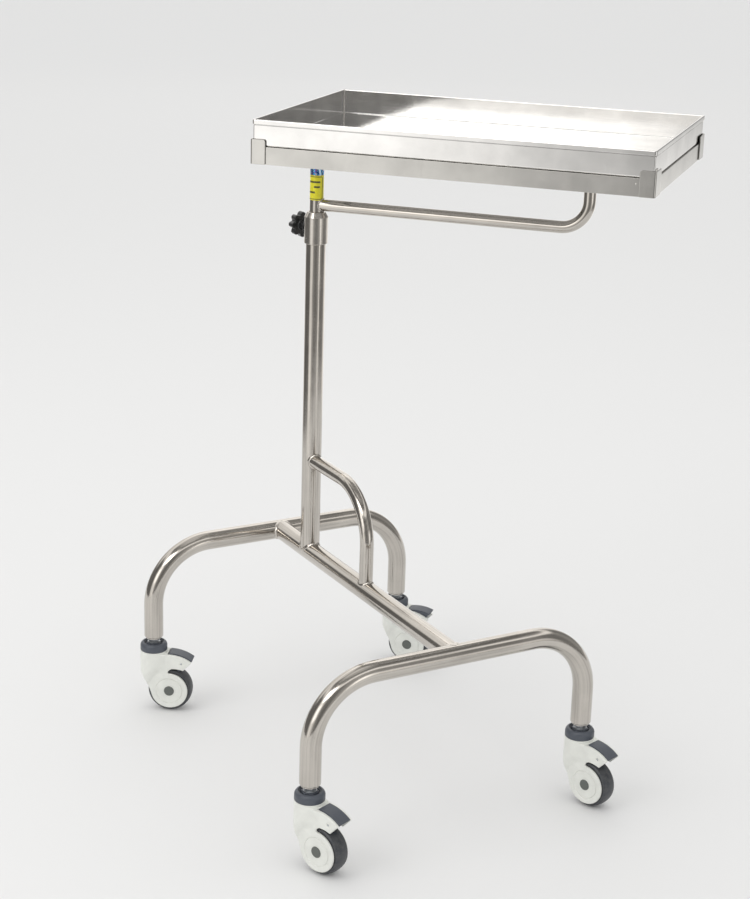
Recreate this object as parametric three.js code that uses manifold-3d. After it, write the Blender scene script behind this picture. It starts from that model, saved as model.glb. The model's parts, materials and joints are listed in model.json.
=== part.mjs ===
// Instrument cart: a tray on a telescopic post, carried by a welded tube base on four braked casters.
// Millimetres, +Z up. +X runs along the spine tube from the rear arch to the front arch.
import * as THREE from 'three';
import { mergeVertices } from 'three/addons/utils/BufferGeometryUtils.js';
import Module from 'manifold-3d';

const wasm = await Module();
wasm.setup();

// ---- driving dimensions -------------------------------------------------------------------
const GAP = 0.3;                 // clearance left wherever two pieces meet
const WALL = 1.5;                // wall of every steel tube

const FRAME_R = 16;              // base tube, outer radius
const LEG_HALF_SPACING = 235.5;  // legs either side of the spine
const REAR_X = -113;             // rear arch, from the column axis
const FRONT_X = 471.5;           // front arch, from the column axis
const ARCH_Z = 287.5;            // centre of the arches' top tube and of the spine
const ARCH_BEND = 100;           // centreline radius of the arch bends
const LEG_END_Z = 130.3;         // open end of each leg tube

const BRACE_R = 11;
const BRACE_X = 196;             // foot of the brace on the spine
const BRACE_Z = 448;             // top end of the brace on the column
const BRACE_BEND = 86;

const COLUMN_TOP_Z = 855;
const COLLAR_R = 19;
const COLLAR_BOTTOM_Z = 811;
const COLLAR_TOP_Z = 861.3;
const BUSH_BOTTOM_Z = 795;

const POST_R = 11;
const POST_BOTTOM_Z = 340;
const POST_TOP_Z = 975.6;
const GUIDE_BOTTOM_Z = 328;
const GUIDE_SPIGOT_TOP_Z = 364;

const ARM_R = 9.5;
const ARM_Z = 872.4;
const ARM_REACH = 438;           // post axis to the upturned end
const ARM_BEND = 43;

const CLAMP_Z = 831.5;
const CLAMP_SCREW_R = 4;
const KNOB_R = 20.5;
const KNOB_LOBES = 8;
const KNOB_FACE = 45;            // inner face of the knob, from the column axis
const KNOB_THICK = 14;

const TRAY_TURN = THREE.MathUtils.degToRad(42.5);
const TRAY_LENGTH = 600;
const TRAY_WIDTH = 400;
const TRAY_START = -30;          // near end of the tray, from the post axis
const RIM_Z = 1029.5;
const HEM_HEIGHT = 7;
const HEM_OUT = 1.5;
const SHEET = 1.5;
const TRAY_CORNER_R = 3.5;

const RAIL_BOTTOM_Z = 964;
const RAIL_TOP_Z = 990;
const RAIL_FLANGE = 20;
const BRACKET_LEG = 22;          // along the long rails
const BRACKET_END_LEG = 36;      // along the end rails
const BRACKET_TOP_Z = 1001;
const BAR_WIDTH = 25;
const BAR_HEIGHT = 12;

const WHEEL_R = 37.5;
const TRAIL = 28.8;              // swivel axis to wheel axle
const TYRE_HALF = 13;
const CHEEK_IN = 14;
const CHEEK_OUT = 17;
const CHEEK_R = 31.3;
const WELL_R = 40;
const HOUSING_R = 23;
const HOUSING_TOP_Z = 106.5;
const CAP_TOP_Z = 120.5;
const STEM_R = 6;
const AXLE_R = 4;
const HOOD_R = 65.4;             // top of the hood, from the axle
const PEDAL_R = 67.3;
const PEDAL_HALF = 12;
const PEDAL_PIVOT_X = 33;
const PEDAL_PIVOT_Z = 100;
const PEDAL_TRAVEL = 14;         // degrees from pressed to raised
const TRUNNION_R = 2.4;
const TRUNNION_HALF = 14.5;
const SHOE_R = 37.9;             // brake shoe, from the axle, with the pedal pressed
const STOP_PIN_X = 49.7;
const STOP_PIN_Z = 88.6;
const STOP_PIN_R = 1.8;

// Each caster: leg, direction in which it trails (degrees from +X), pedal up or down.
const CASTERS = [
  { name: 'rear_left', x: REAR_X, y: -LEG_HALF_SPACING, trail: 55.7, raised: false },
  { name: 'rear_right', x: REAR_X, y: LEG_HALF_SPACING, trail: 43.1, raised: true },
  { name: 'front_left', x: FRONT_X, y: -LEG_HALF_SPACING, trail: 22, raised: false },
  { name: 'front_right', x: FRONT_X, y: LEG_HALF_SPACING, trail: 17, raised: false },
];

const STEEL = { color: 0xb9b3a8, roughness: 0.3, metalness: 1 };
const TRAY_STEEL = { color: 0xc4c3c0, roughness: 0.22, metalness: 1 };
const ZINC = { color: 0xa9aeb3, roughness: 0.4, metalness: 1 };
const NYLON = { color: 0xe6e3da, roughness: 0.5, metalness: 0 };
const BLACK_PLASTIC = { color: 0x17181a, roughness: 0.45, metalness: 0 };
const SLATE_PLASTIC = { color: 0x33383d, roughness: 0.5, metalness: 0 };
const WHITE_PLASTIC = { color: 0xe9e6dc, roughness: 0.42, metalness: 0 };
const TYRE_RUBBER = { color: 0x4b4e53, roughness: 0.7, metalness: 0 };
const BRASS = { color: 0xb08d4c, roughness: 0.4, metalness: 1 };

// ---- geometry helpers ---------------------------------------------------------------------
function solidOf(geometry) {
  const bare = geometry.clone();
  bare.deleteAttribute('normal');
  bare.deleteAttribute('uv');
  const merged = mergeVertices(bare, 1e-3);
  return new wasm.Manifold(new wasm.Mesh({
    numProp: 3,
    vertProperties: new Float32Array(merged.attributes.position.array),
    triVerts: new Uint32Array(merged.index.array),
  }));
}

function geometryOf(solid) {
  const mesh = solid.getMesh();
  const geometry = new THREE.BufferGeometry();
  geometry.setAttribute('position', new THREE.BufferAttribute(new Float32Array(mesh.vertProperties), 3));
  geometry.setIndex(new THREE.BufferAttribute(new Uint32Array(mesh.triVerts), 1));
  geometry.computeVertexNormals();
  return geometry;
}

function cut(geometry, ...tools) {
  let body = solidOf(geometry);
  for (const tool of tools) {
    body = body.subtract(solidOf(tool));
  }
  return geometryOf(body);
}

function join(geometry, ...others) {
  let body = solidOf(geometry);
  for (const other of others) {
    body = body.add(solidOf(other));
  }
  return geometryOf(body);
}

// A ring of material turned about Z from [radius, z] points listed round its section.
function turned(section, segments = 18) {
  const points = section.map(([r, z]) => new THREE.Vector2(r, z));
  const open = section.every(([r]) => r > 0);
  if (open) {
    points.push(points[0].clone());
  }
  return new THREE.LatheGeometry(points, segments).rotateX(Math.PI / 2);
}

// A round bar along Z between two heights.
function rod(radius, bottom, top, segments = 20) {
  return new THREE.CylinderGeometry(radius, radius, top - bottom, segments)
    .rotateX(Math.PI / 2)
    .translate(0, 0, (bottom + top) / 2);
}

// A round bar along X or Y between two positions.
function rodX(radius, from, to, y, z, segments = 24) {
  return rod(radius, from, to, segments).rotateY(Math.PI / 2).translate(0, y, z);
}

function rodY(radius, from, to, x, z, segments = 24) {
  return rod(radius, -to, -from, segments).rotateX(Math.PI / 2).translate(x, 0, z);
}

function block(x0, x1, y0, y1, z0, z1) {
  return new THREE.BoxGeometry(x1 - x0, y1 - y0, z1 - z0)
    .translate((x0 + x1) / 2, (y0 + y1) / 2, (z0 + z1) / 2);
}

// An outline in X-Z drawn out along Y, centred on Y = 0.
function plateXZ(outline, width) {
  const shape = new THREE.Shape(outline.map(([x, z]) => new THREE.Vector2(x, z)));
  return new THREE.ExtrudeGeometry(shape, { depth: width, bevelEnabled: false })
    .rotateX(Math.PI / 2)
    .translate(0, width / 2, 0);
}

function arc(cx, cz, radius, fromDeg, toDeg, steps) {
  const points = [];
  for (let i = 0; i <= steps; i += 1) {
    const a = THREE.MathUtils.degToRad(fromDeg + (toDeg - fromDeg) * i / steps);
    points.push([cx + radius * Math.cos(a), cz + radius * Math.sin(a)]);
  }
  return points;
}

// Stations along a flat path of straight runs joined by quarter bends.
// corners are [u, z] points; each inner corner is rounded to the bend radius.
function bentPath(corners, bend, steps) {
  const stations = [];
  const at = (i) => new THREE.Vector2(...corners[i]);
  for (let i = 0; i < corners.length; i += 1) {
    const here = at(i);
    if (i === 0 || i === corners.length - 1) {
      const other = i === 0 ? at(1) : at(i - 1);
      const along = i === 0 ? other.clone().sub(here) : here.clone().sub(other);
      stations.push({ point: here, along: along.normalize() });
      continue;
    }
    const inward = here.clone().sub(at(i - 1)).normalize();
    const outward = at(i + 1).sub(here).normalize();
    const start = here.clone().addScaledVector(inward, -bend);
    const centre = start.clone().addScaledVector(outward, bend);
    for (let k = 0; k <= steps; k += 1) {
      const a = (Math.PI / 2) * k / steps;
      const point = centre.clone()
        .addScaledVector(outward, -bend * Math.cos(a))
        .addScaledVector(inward, bend * Math.sin(a));
      const along = inward.clone().multiplyScalar(Math.cos(a)).addScaledVector(outward, Math.sin(a));
      stations.push({ point, along });
    }
  }
  return stations;
}

// A hollow round tube swept along flat stations; u is laid along X and z along Z.
function sweptTube(stations, outer, inner, segments) {
  const positions = [];
  const index = [];
  const rings = stations.length;
  for (const radius of [outer, inner]) {
    for (const { point, along } of stations) {
      for (let s = 0; s < segments; s += 1) {
        const a = 2 * Math.PI * s / segments;
        const side = radius * Math.cos(a);
        positions.push(point.x - along.y * side, radius * Math.sin(a), point.y + along.x * side);
      }
    }
  }
  const id = (layer, ring, s) => layer * rings * segments + ring * segments + (s % segments);
  const quad = (a, b, c, d) => index.push(a, b, c, a, c, d);
  for (let s = 0; s < segments; s += 1) {
    for (let r = 0; r < rings - 1; r += 1) {
      quad(id(0, r, s), id(0, r + 1, s), id(0, r + 1, s + 1), id(0, r, s + 1));
      quad(id(1, r, s), id(1, r, s + 1), id(1, r + 1, s + 1), id(1, r + 1, s));
    }
    quad(id(0, 0, s), id(0, 0, s + 1), id(1, 0, s + 1), id(1, 0, s));
    const last = rings - 1;
    quad(id(0, last, s), id(1, last, s), id(1, last, s + 1), id(0, last, s + 1));
  }
  const geometry = new THREE.BufferGeometry();
  geometry.setAttribute('position', new THREE.Float32BufferAttribute(positions, 3));
  geometry.setIndex(index);
  return geometry;
}

function straightTube(radius, bottom, top, segments = 20) {
  return turned([[radius - WALL, bottom], [radius, bottom], [radius, top], [radius - WALL, top]], segments);
}

const parts = [];

function add(name, geometry, look) {
  parts.push({ name, geometry, look });
}

// ---- base ---------------------------------------------------------------------------------
function archTube(x) {
  const path = bentPath([
    [-LEG_HALF_SPACING, LEG_END_Z],
    [-LEG_HALF_SPACING, ARCH_Z],
    [LEG_HALF_SPACING, ARCH_Z],
    [LEG_HALF_SPACING, LEG_END_Z],
  ], ARCH_BEND, 6);
  return sweptTube(path, FRAME_R, FRAME_R - WALL, 18).rotateZ(Math.PI / 2).translate(x, 0, 0);
}

function spineTube() {
  const tube = straightTube(FRAME_R, REAR_X, FRONT_X).rotateY(Math.PI / 2).translate(0, 0, ARCH_Z);
  const saddle = FRAME_R + GAP;
  return cut(
    tube,
    rodY(saddle, -50, 50, REAR_X, ARCH_Z, 32),
    rodY(saddle, -50, 50, FRONT_X, ARCH_Z, 32),
  );
}

function columnTube() {
  const tube = straightTube(FRAME_R, ARCH_Z, COLUMN_TOP_Z);
  return cut(
    tube,
    rodX(FRAME_R + GAP, -50, 50, 0, ARCH_Z, 32),
    rodX(CLAMP_SCREW_R + 0.9, -30, 0, 0, CLAMP_Z, 16),
  );
}

function columnBrace() {
  const path = bentPath([[0, BRACE_Z], [BRACE_X, BRACE_Z], [BRACE_X, ARCH_Z]], BRACE_BEND, 6);
  return cut(
    sweptTube(path, BRACE_R, BRACE_R - WALL, 14),
    rod(FRAME_R + GAP, BRACE_Z - 50, BRACE_Z + 50, 32),
    rodX(FRAME_R + GAP, BRACE_X - 50, BRACE_X + 50, 0, ARCH_Z, 32),
  );
}

function columnCollar() {
  const bore = POST_R + 0.8;
  const sleeve = FRAME_R + GAP;
  const ring = turned([
    [sleeve, COLLAR_BOTTOM_Z],
    [COLLAR_R - 0.8, COLLAR_BOTTOM_Z],
    [COLLAR_R, COLLAR_BOTTOM_Z + 0.8],
    [COLLAR_R, COLLAR_TOP_Z - 8],
    [COLLAR_R - 4.4, COLLAR_TOP_Z],
    [bore, COLLAR_TOP_Z],
    [bore, COLUMN_TOP_Z + GAP],
    [sleeve, COLUMN_TOP_Z + GAP],
  ], 24);
  return cut(ring, rodX(CLAMP_SCREW_R + GAP, -30, 0, 0, CLAMP_Z, 16));
}

function guideBush() {
  const outer = FRAME_R - WALL - GAP;
  const inner = POST_R + GAP;
  const ring = turned([
    [inner, BUSH_BOTTOM_Z],
    [outer, BUSH_BOTTOM_Z],
    [outer, COLUMN_TOP_Z - GAP],
    [inner, COLUMN_TOP_Z - GAP],
  ]);
  return cut(ring, rodX(CLAMP_SCREW_R + 0.9, -30, 0, 0, CLAMP_Z, 16));
}

function legPlug() {
  const bore = STEM_R + GAP;
  const body = FRAME_R - WALL - 2 * GAP;
  const flangeTop = LEG_END_Z - GAP;
  return turned([
    [bore, flangeTop - 2.6],
    [FRAME_R - 1.6, flangeTop - 2.6],
    [FRAME_R - 0.2, flangeTop - 1.2],
    [FRAME_R - 0.2, flangeTop],
    [body, flangeTop],
    [body, flangeTop + 26],
    [bore, flangeTop + 26],
  ], 14);
}

// ---- clamp --------------------------------------------------------------------------------
const PAD_TIP = POST_R + GAP;
const PAD_BACK = PAD_TIP + 2.6;
const SCREW_TIP = PAD_BACK + GAP;

function clampPad() {
  return rodX(CLAMP_SCREW_R + 0.5, -PAD_BACK, -PAD_TIP, 0, CLAMP_Z, 16);
}

function clampScrew() {
  const profile = [
    [0, -KNOB_FACE - KNOB_THICK + 4],
    [CLAMP_SCREW_R, -KNOB_FACE - KNOB_THICK + 4],
    [CLAMP_SCREW_R, -SCREW_TIP - 1],
    [CLAMP_SCREW_R - 1, -SCREW_TIP],
    [0, -SCREW_TIP],
  ];
  return turned(profile, 16).rotateY(Math.PI / 2).translate(0, 0, CLAMP_Z);
}

function clampKnob() {
  const outline = [];
  const steps = KNOB_LOBES * 5;
  for (let i = 0; i < steps; i += 1) {
    const a = 2 * Math.PI * i / steps;
    const wave = 0.5 + 0.5 * Math.cos(a * KNOB_LOBES);
    const r = KNOB_R - 4.6 * Math.pow(1 - wave, 1.6);
    outline.push(new THREE.Vector2(r * Math.cos(a), r * Math.sin(a)));
  }
  const star = new THREE.ExtrudeGeometry(new THREE.Shape(outline), {
    depth: KNOB_THICK - 3,
    bevelEnabled: true,
    bevelThickness: 1.5,
    bevelSize: 1.5,
    bevelOffset: -1.5,
    bevelSegments: 1,
  }).translate(0, 0, -KNOB_FACE - KNOB_THICK + 1.5);
  const hub = turned([
    [0, -KNOB_FACE - 1],
    [9, -KNOB_FACE - 1],
    [8, -KNOB_FACE + 14],
    [0, -KNOB_FACE + 14],
  ], 20);
  const knob = cut(join(star, hub), rod(CLAMP_SCREW_R + GAP, -KNOB_FACE - KNOB_THICK + 3.4, 0, 16));
  return knob.rotateY(Math.PI / 2).translate(0, 0, CLAMP_Z);
}

// ---- post and arm -------------------------------------------------------------------------
function postTube() {
  return straightTube(POST_R, POST_BOTTOM_Z, POST_TOP_Z);
}

function postGuide() {
  const spigot = POST_R - WALL - GAP;
  return turned([
    [0, GUIDE_BOTTOM_Z],
    [FRAME_R - WALL - GAP - 1, GUIDE_BOTTOM_Z],
    [FRAME_R - WALL - GAP, GUIDE_BOTTOM_Z + 1],
    [FRAME_R - WALL - GAP, POST_BOTTOM_Z - GAP],
    [spigot, POST_BOTTOM_Z - GAP],
    [spigot, GUIDE_SPIGOT_TOP_Z],
    [0, GUIDE_SPIGOT_TOP_Z],
  ]);
}

function armTube() {
  const path = bentPath([[0, ARM_Z], [ARM_REACH, ARM_Z], [ARM_REACH, POST_TOP_Z]], ARM_BEND, 6);
  return cut(
    sweptTube(path, ARM_R, ARM_R - WALL, 14),
    rod(POST_R + GAP, ARM_Z - 30, ARM_Z + 30, 32),
  ).rotateZ(TRAY_TURN);
}

// ---- tray frame and tray, laid out along X and turned at the end ---------------------------
const TRAY_END = TRAY_START + TRAY_LENGTH;
const TRAY_SIDE = TRAY_WIDTH / 2;

function railAngle(length) {
  const shape = new THREE.Shape([
    new THREE.Vector2(0, RAIL_BOTTOM_Z),
    new THREE.Vector2(WALL, RAIL_BOTTOM_Z),
    new THREE.Vector2(WALL, RAIL_TOP_Z - WALL),
    new THREE.Vector2(RAIL_FLANGE, RAIL_TOP_Z - WALL),
    new THREE.Vector2(RAIL_FLANGE, RAIL_TOP_Z),
    new THREE.Vector2(0, RAIL_TOP_Z),
  ]);
  return new THREE.ExtrudeGeometry(shape, { depth: length, bevelEnabled: false }).rotateX(Math.PI / 2);
}

function longRail(side) {
  const rail = railAngle(TRAY_LENGTH).rotateZ(Math.PI / 2).translate(TRAY_START, -TRAY_SIDE, 0);
  return side < 0 ? rail : rail.rotateZ(Math.PI).translate(TRAY_START + TRAY_END, 0, 0);
}

function endRail(end) {
  const inset = GAP + WALL;
  const length = TRAY_WIDTH - 2 * inset;
  const rail = railAngle(length).translate(0, length / 2, 0);
  const notch = RAIL_FLANGE + GAP;
  const clear = cut(
    rail,
    block(-5, 40, -TRAY_SIDE - 1, -TRAY_SIDE + notch, RAIL_TOP_Z - WALL - GAP, RAIL_TOP_Z + 5),
    block(-5, 40, TRAY_SIDE - notch, TRAY_SIDE + 1, RAIL_TOP_Z - WALL - GAP, RAIL_TOP_Z + 5),
  );
  return end < 0
    ? clear.translate(TRAY_START, 0, 0)
    : clear.rotateZ(Math.PI).translate(TRAY_END, 0, 0);
}

// What is cut away to round the free top corner of a bracket's leg.
function cornerTrim(leg) {
  const round = 4;
  return plateXZ([
    [leg + 1, BRACKET_TOP_Z + 1],
    [leg - round, BRACKET_TOP_Z + 1],
    ...arc(leg - round, BRACKET_TOP_Z - round, round, 90, 0, 3),
    [leg + 1, BRACKET_TOP_Z - round],
  ].reverse(), 12);
}

function cornerBracket(end, side) {
  const out = GAP + WALL;
  const bend = 3;
  const plan = new THREE.Shape();
  plan.moveTo(-out + bend, -out);
  plan.lineTo(BRACKET_LEG, -out);
  plan.lineTo(BRACKET_LEG, -GAP);
  plan.lineTo(-GAP, -GAP);
  plan.lineTo(-GAP, BRACKET_END_LEG);
  plan.lineTo(-out, BRACKET_END_LEG);
  plan.lineTo(-out, -out + bend);
  plan.absarc(-out + bend, -out + bend, bend, Math.PI, 1.5 * Math.PI, false);
  const angle = new THREE.ExtrudeGeometry(plan, {
    depth: BRACKET_TOP_Z - RAIL_BOTTOM_Z,
    bevelEnabled: false,
    curveSegments: 3,
  }).translate(0, 0, RAIL_BOTTOM_Z);
  const trimX = cornerTrim(BRACKET_LEG);
  const trimY = cornerTrim(BRACKET_END_LEG).rotateZ(-Math.PI / 2).scale(1, -1, 1);
  flip(trimY);
  const bracket = cut(angle, trimX, trimY).scale(-end, -side, 1);
  if (end * side < 0) {
    flip(bracket);
  }
  return bracket.translate(end < 0 ? TRAY_START : TRAY_END, side * TRAY_SIDE, 0);
}

// Turns every face over, after a mirror has left them inside out.
function flip(geometry) {
  if (geometry.index) {
    const list = geometry.index.array;
    for (let i = 0; i < list.length; i += 3) {
      [list[i], list[i + 1]] = [list[i + 1], list[i]];
    }
    return;
  }
  const p = geometry.attributes.position.array;
  for (let i = 0; i < p.length; i += 9) {
    for (let k = 0; k < 3; k += 1) {
      [p[i + k], p[i + 3 + k]] = [p[i + 3 + k], p[i + k]];
    }
  }
}

// A rectangular tube across the tray, under the rails' flanges.
function crossBar(at) {
  const half = TRAY_SIDE - WALL - GAP;
  const top = RAIL_TOP_Z - WALL - GAP;
  const bottom = top - BAR_HEIGHT;
  const outer = block(at - BAR_WIDTH / 2, at + BAR_WIDTH / 2, -half, half, bottom, top);
  const hollow = block(
    at - BAR_WIDTH / 2 + WALL,
    at + BAR_WIDTH / 2 - WALL,
    -half - 1,
    half + 1,
    bottom + WALL,
    top - WALL,
  );
  return cut(outer, hollow);
}

function roundedPlan(inset, radius) {
  const x0 = TRAY_START + inset;
  const x1 = TRAY_END - inset;
  const y = TRAY_SIDE - inset;
  const shape = new THREE.Shape();
  shape.moveTo(x0 + radius, -y);
  shape.absarc(x1 - radius, -y + radius, radius, 1.5 * Math.PI, 2 * Math.PI, false);
  shape.absarc(x1 - radius, y - radius, radius, 0, 0.5 * Math.PI, false);
  shape.absarc(x0 + radius, y - radius, radius, 0.5 * Math.PI, Math.PI, false);
  shape.absarc(x0 + radius, -y + radius, radius, Math.PI, 1.5 * Math.PI, false);
  return shape;
}

function slab(inset, radius, bottom, top) {
  return new THREE.ExtrudeGeometry(roundedPlan(inset, radius), {
    depth: top - bottom,
    bevelEnabled: false,
    curveSegments: 3,
  }).translate(0, 0, bottom);
}

function trayPan() {
  const bottom = RAIL_TOP_Z + GAP;
  const foot = 3;
  const shell = join(
    slab(HEM_OUT, TRAY_CORNER_R - HEM_OUT, bottom + foot, RIM_Z),
    slab(0, TRAY_CORNER_R, RIM_Z - HEM_HEIGHT, RIM_Z),
    slab(HEM_OUT + foot, TRAY_CORNER_R - HEM_OUT, bottom, bottom + foot + 1),
  );
  const inside = HEM_OUT + SHEET;
  return cut(
    shell,
    slab(inside, TRAY_CORNER_R - inside, bottom + SHEET + foot, RIM_Z + 1),
    slab(inside + foot, TRAY_CORNER_R - inside, bottom + SHEET, RIM_Z),
  );
}

// ---- caster, swivel axis on Z, wheel trailing along +X --------------------------------------
function casterStem() {
  const hex = new THREE.CylinderGeometry(10.5, 10.5, 7.5, 6)
    .rotateX(Math.PI / 2)
    .translate(0, 0, 114.5);
  const pin = turned([
    [0, 76.5],
    [9.2, 76.5],
    [9.2, 79.5],
    [STEM_R, 79.5],
    [STEM_R, 150],
    [0, 150],
  ], 12);
  return join(pin, hex);
}

function swivelCap() {
  const bore = STEM_R + 1;
  const recess = 13.6;
  const bottom = HOUSING_TOP_Z + GAP;
  return turned([
    [bore, bottom],
    [HOUSING_R - 1.4, bottom],
    [HOUSING_R - 0.2, bottom + 1.6],
    [HOUSING_R - 0.2, bottom + 5.5],
    [HOUSING_R - 5.2, CAP_TOP_Z],
    [recess, CAP_TOP_Z],
    [recess, bottom + 3.2],
    [bore, bottom + 3.2],
  ], 20);
}

// A point at a distance from the wheel centre, in the direction given in degrees from +X.
function fromWheel(radius, degrees) {
  const a = THREE.MathUtils.degToRad(degrees);
  return [TRAIL + radius * Math.cos(a), WHEEL_R + radius * Math.sin(a)];
}

// The hood over the wheel: a ring about the axle with bevelled edges, kept between two cut lines.
function casterHood() {
  const ring = turned([
    [34, -CHEEK_OUT],
    [HOOD_R - 4, -CHEEK_OUT],
    [HOOD_R, -PEDAL_HALF - 1],
    [HOOD_R, PEDAL_HALF + 1],
    [HOOD_R - 4, CHEEK_OUT],
    [34, CHEEK_OUT],
  ], 48).rotateX(Math.PI / 2).translate(TRAIL, 0, WHEEL_R);
  const keep = plateXZ([
    fromWheel(33, 92),
    fromWheel(WELL_R + 0.3, 87),
    fromWheel(WELL_R + 1.2, 78),
    fromWheel(WELL_R + 2.8, 68),
    fromWheel(WELL_R + 4.9, 57.6),
    fromWheel(HOOD_R + 2, 54.2),
    [60, 112],
    [2, 112],
    [2, 60],
  ].reverse(), 2 * CHEEK_OUT + 2);
  return geometryOf(solidOf(ring).intersect(solidOf(keep)));
}

function casterHousing() {
  const neck = turned([
    [0, 66],
    [HOUSING_R, 66],
    [HOUSING_R, HOUSING_TOP_Z - 1.2],
    [HOUSING_R - 1.2, HOUSING_TOP_Z],
    [0, HOUSING_TOP_Z],
  ], 20);
  const leading = plateXZ([
    [-HOUSING_R + 7, 100],
    [-HOUSING_R + 7, 74],
    [-13, 60],
    [-8.6, 50],
    [-4.2, 39],
    [-0.2, 27],
    [TRAIL, WHEEL_R],
    [TRAIL, 70],
    [TRAIL - 2, 78],
    [TRAIL - 6, 100],
  ], 2 * CHEEK_OUT);
  const disc = rodY(CHEEK_R, -CHEEK_OUT, CHEEK_OUT, TRAIL, WHEEL_R, 32);
  const pocket = plateXZ([
    [25.6, 112],
    [25.6, 96.5],
    [36.6, 95.6],
    [38, 92.5],
    [40.2, 79],
    [41, 64],
    [72, 64],
    [84, 112],
  ].reverse(), 2 * (PEDAL_HALF + GAP));
  return cut(
    join(neck, leading, casterHood(), disc),
    rodY(WELL_R, -CHEEK_IN, CHEEK_IN, TRAIL, WHEEL_R, 28),
    rod(STEM_R + GAP, 50, 120, 16),
    rod(10, 40, 80, 16),
    rodY(AXLE_R + GAP, -30, 30, TRAIL, WHEEL_R, 12),
    pocket,
    rodY(TRUNNION_R + GAP, -TRUNNION_HALF - GAP, TRUNNION_HALF + GAP, PEDAL_PIVOT_X, PEDAL_PIVOT_Z, 10),
    rodY(STOP_PIN_R + GAP, -30, 30, STOP_PIN_X, STOP_PIN_Z, 10),
  );
}

function wheelTyre() {
  const inner = 27.3;
  return turned([
    [inner, -11.5],
    [33.5, -TYRE_HALF],
    [36.4, -10.5],
    [WHEEL_R, -6],
    [WHEEL_R, 6],
    [36.4, 10.5],
    [33.5, TYRE_HALF],
    [inner, 11.5],
  ], 24).rotateX(Math.PI / 2).translate(TRAIL, 0, WHEEL_R);
}

function wheelHub() {
  const bore = AXLE_R + 0.4;
  return turned([
    [bore, -12.6],
    [9, -12.6],
    [9, -4],
    [23, -4],
    [24, -10.6],
    [27, -10.6],
    [27, 10.6],
    [24, 10.6],
    [23, 4],
    [9, 4],
    [9, 12.6],
    [bore, 12.6],
  ], 16).rotateX(Math.PI / 2).translate(TRAIL, 0, WHEEL_R);
}

function casterAxle() {
  const inner = CHEEK_OUT + 0.2;
  const outer = CHEEK_OUT + 1.4;
  return turned([
    [0, -outer],
    [8.4, -outer],
    [8.8, -inner],
    [AXLE_R, -inner],
    [AXLE_R, inner],
    [8.8, inner],
    [8.4, outer],
    [0, outer],
  ], 12).rotateX(Math.PI / 2).translate(TRAIL, 0, WHEEL_R);
}

// The pedal lies in the hood's pocket, turns on its own trunnions at the leading end and ends below
// in a brake shoe. A cross pin through its curved slot limits the travel.
function brakePedal(raised) {
  const body = plateXZ([
    ...arc(TRAIL, WHEEL_R, PEDAL_R, 91, 54.5, 6),
    fromWheel(PEDAL_R - 3, 54.8),
    fromWheel(PEDAL_R - 3.6, 57.5),
    fromWheel(50, 59),
    fromWheel(44, 61.5),
    fromWheel(SHOE_R, 64),
    fromWheel(SHOE_R, 69),
    fromWheel(44, 73),
    fromWheel(56, 79),
    fromWheel(60.3, 82),
    fromWheel(60, 89),
    fromWheel(63, 91.2),
  ].reverse(), 2 * PEDAL_HALF);
  const trunnion = rodY(TRUNNION_R, -TRUNNION_HALF, TRUNNION_HALF, PEDAL_PIVOT_X, PEDAL_PIVOT_Z, 10);
  const reach = Math.hypot(STOP_PIN_X - PEDAL_PIVOT_X, STOP_PIN_Z - PEDAL_PIVOT_Z);
  const down = THREE.MathUtils.radToDeg(Math.atan2(STOP_PIN_Z - PEDAL_PIVOT_Z, STOP_PIN_X - PEDAL_PIVOT_X));
  const half = STOP_PIN_R + 0.5;
  const slot = plateXZ([
    ...arc(PEDAL_PIVOT_X, PEDAL_PIVOT_Z, reach + half, down - PEDAL_TRAVEL - 6, down + 6, 4),
    ...arc(PEDAL_PIVOT_X, PEDAL_PIVOT_Z, reach - half, down + 6, down - PEDAL_TRAVEL - 6, 4),
  ], 2 * PEDAL_HALF + 2);
  const pedal = cut(join(body, trunnion), slot);
  if (!raised) {
    return pedal;
  }
  return pedal
    .translate(-PEDAL_PIVOT_X, 0, -PEDAL_PIVOT_Z)
    .rotateY(-THREE.MathUtils.degToRad(PEDAL_TRAVEL))
    .translate(PEDAL_PIVOT_X, 0, PEDAL_PIVOT_Z);
}

function stopPin() {
  return rodY(STOP_PIN_R, -CHEEK_OUT - 0.3, CHEEK_OUT + 0.3, STOP_PIN_X, STOP_PIN_Z, 10);
}

// ---- assembly -----------------------------------------------------------------------------
add('rear_arch_tube', archTube(REAR_X), STEEL);
add('front_arch_tube', archTube(FRONT_X), STEEL);
add('spine_tube', spineTube(), STEEL);
add('column_tube', columnTube(), STEEL);
add('column_brace', columnBrace(), STEEL);
add('column_collar', columnCollar(), STEEL);
add('guide_bush', guideBush(), NYLON);

add('clamp_pad', clampPad(), BRASS);
add('clamp_screw', clampScrew(), ZINC);
add('clamp_knob', clampKnob(), BLACK_PLASTIC);

add('post_guide', postGuide(), NYLON);
add('post_tube', postTube(), STEEL);
add('tray_arm', armTube(), STEEL);

add('frame_rail_left', longRail(-1).rotateZ(TRAY_TURN), STEEL);
add('frame_rail_right', longRail(1).rotateZ(TRAY_TURN), STEEL);
add('frame_rail_near', endRail(-1).rotateZ(TRAY_TURN), STEEL);
add('frame_rail_far', endRail(1).rotateZ(TRAY_TURN), STEEL);
add('cross_bar_post', crossBar(0).rotateZ(TRAY_TURN), STEEL);
add('cross_bar_arm', crossBar(ARM_REACH).rotateZ(TRAY_TURN), STEEL);
for (const [end, endName] of [[-1, 'near'], [1, 'far']]) {
  for (const [side, sideName] of [[-1, 'left'], [1, 'right']]) {
    const bracket = cornerBracket(end, side).rotateZ(TRAY_TURN);
    add(`corner_bracket_${endName}_${sideName}`, bracket, STEEL);
  }
}
add('tray_pan', trayPan().rotateZ(TRAY_TURN), TRAY_STEEL);

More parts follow.
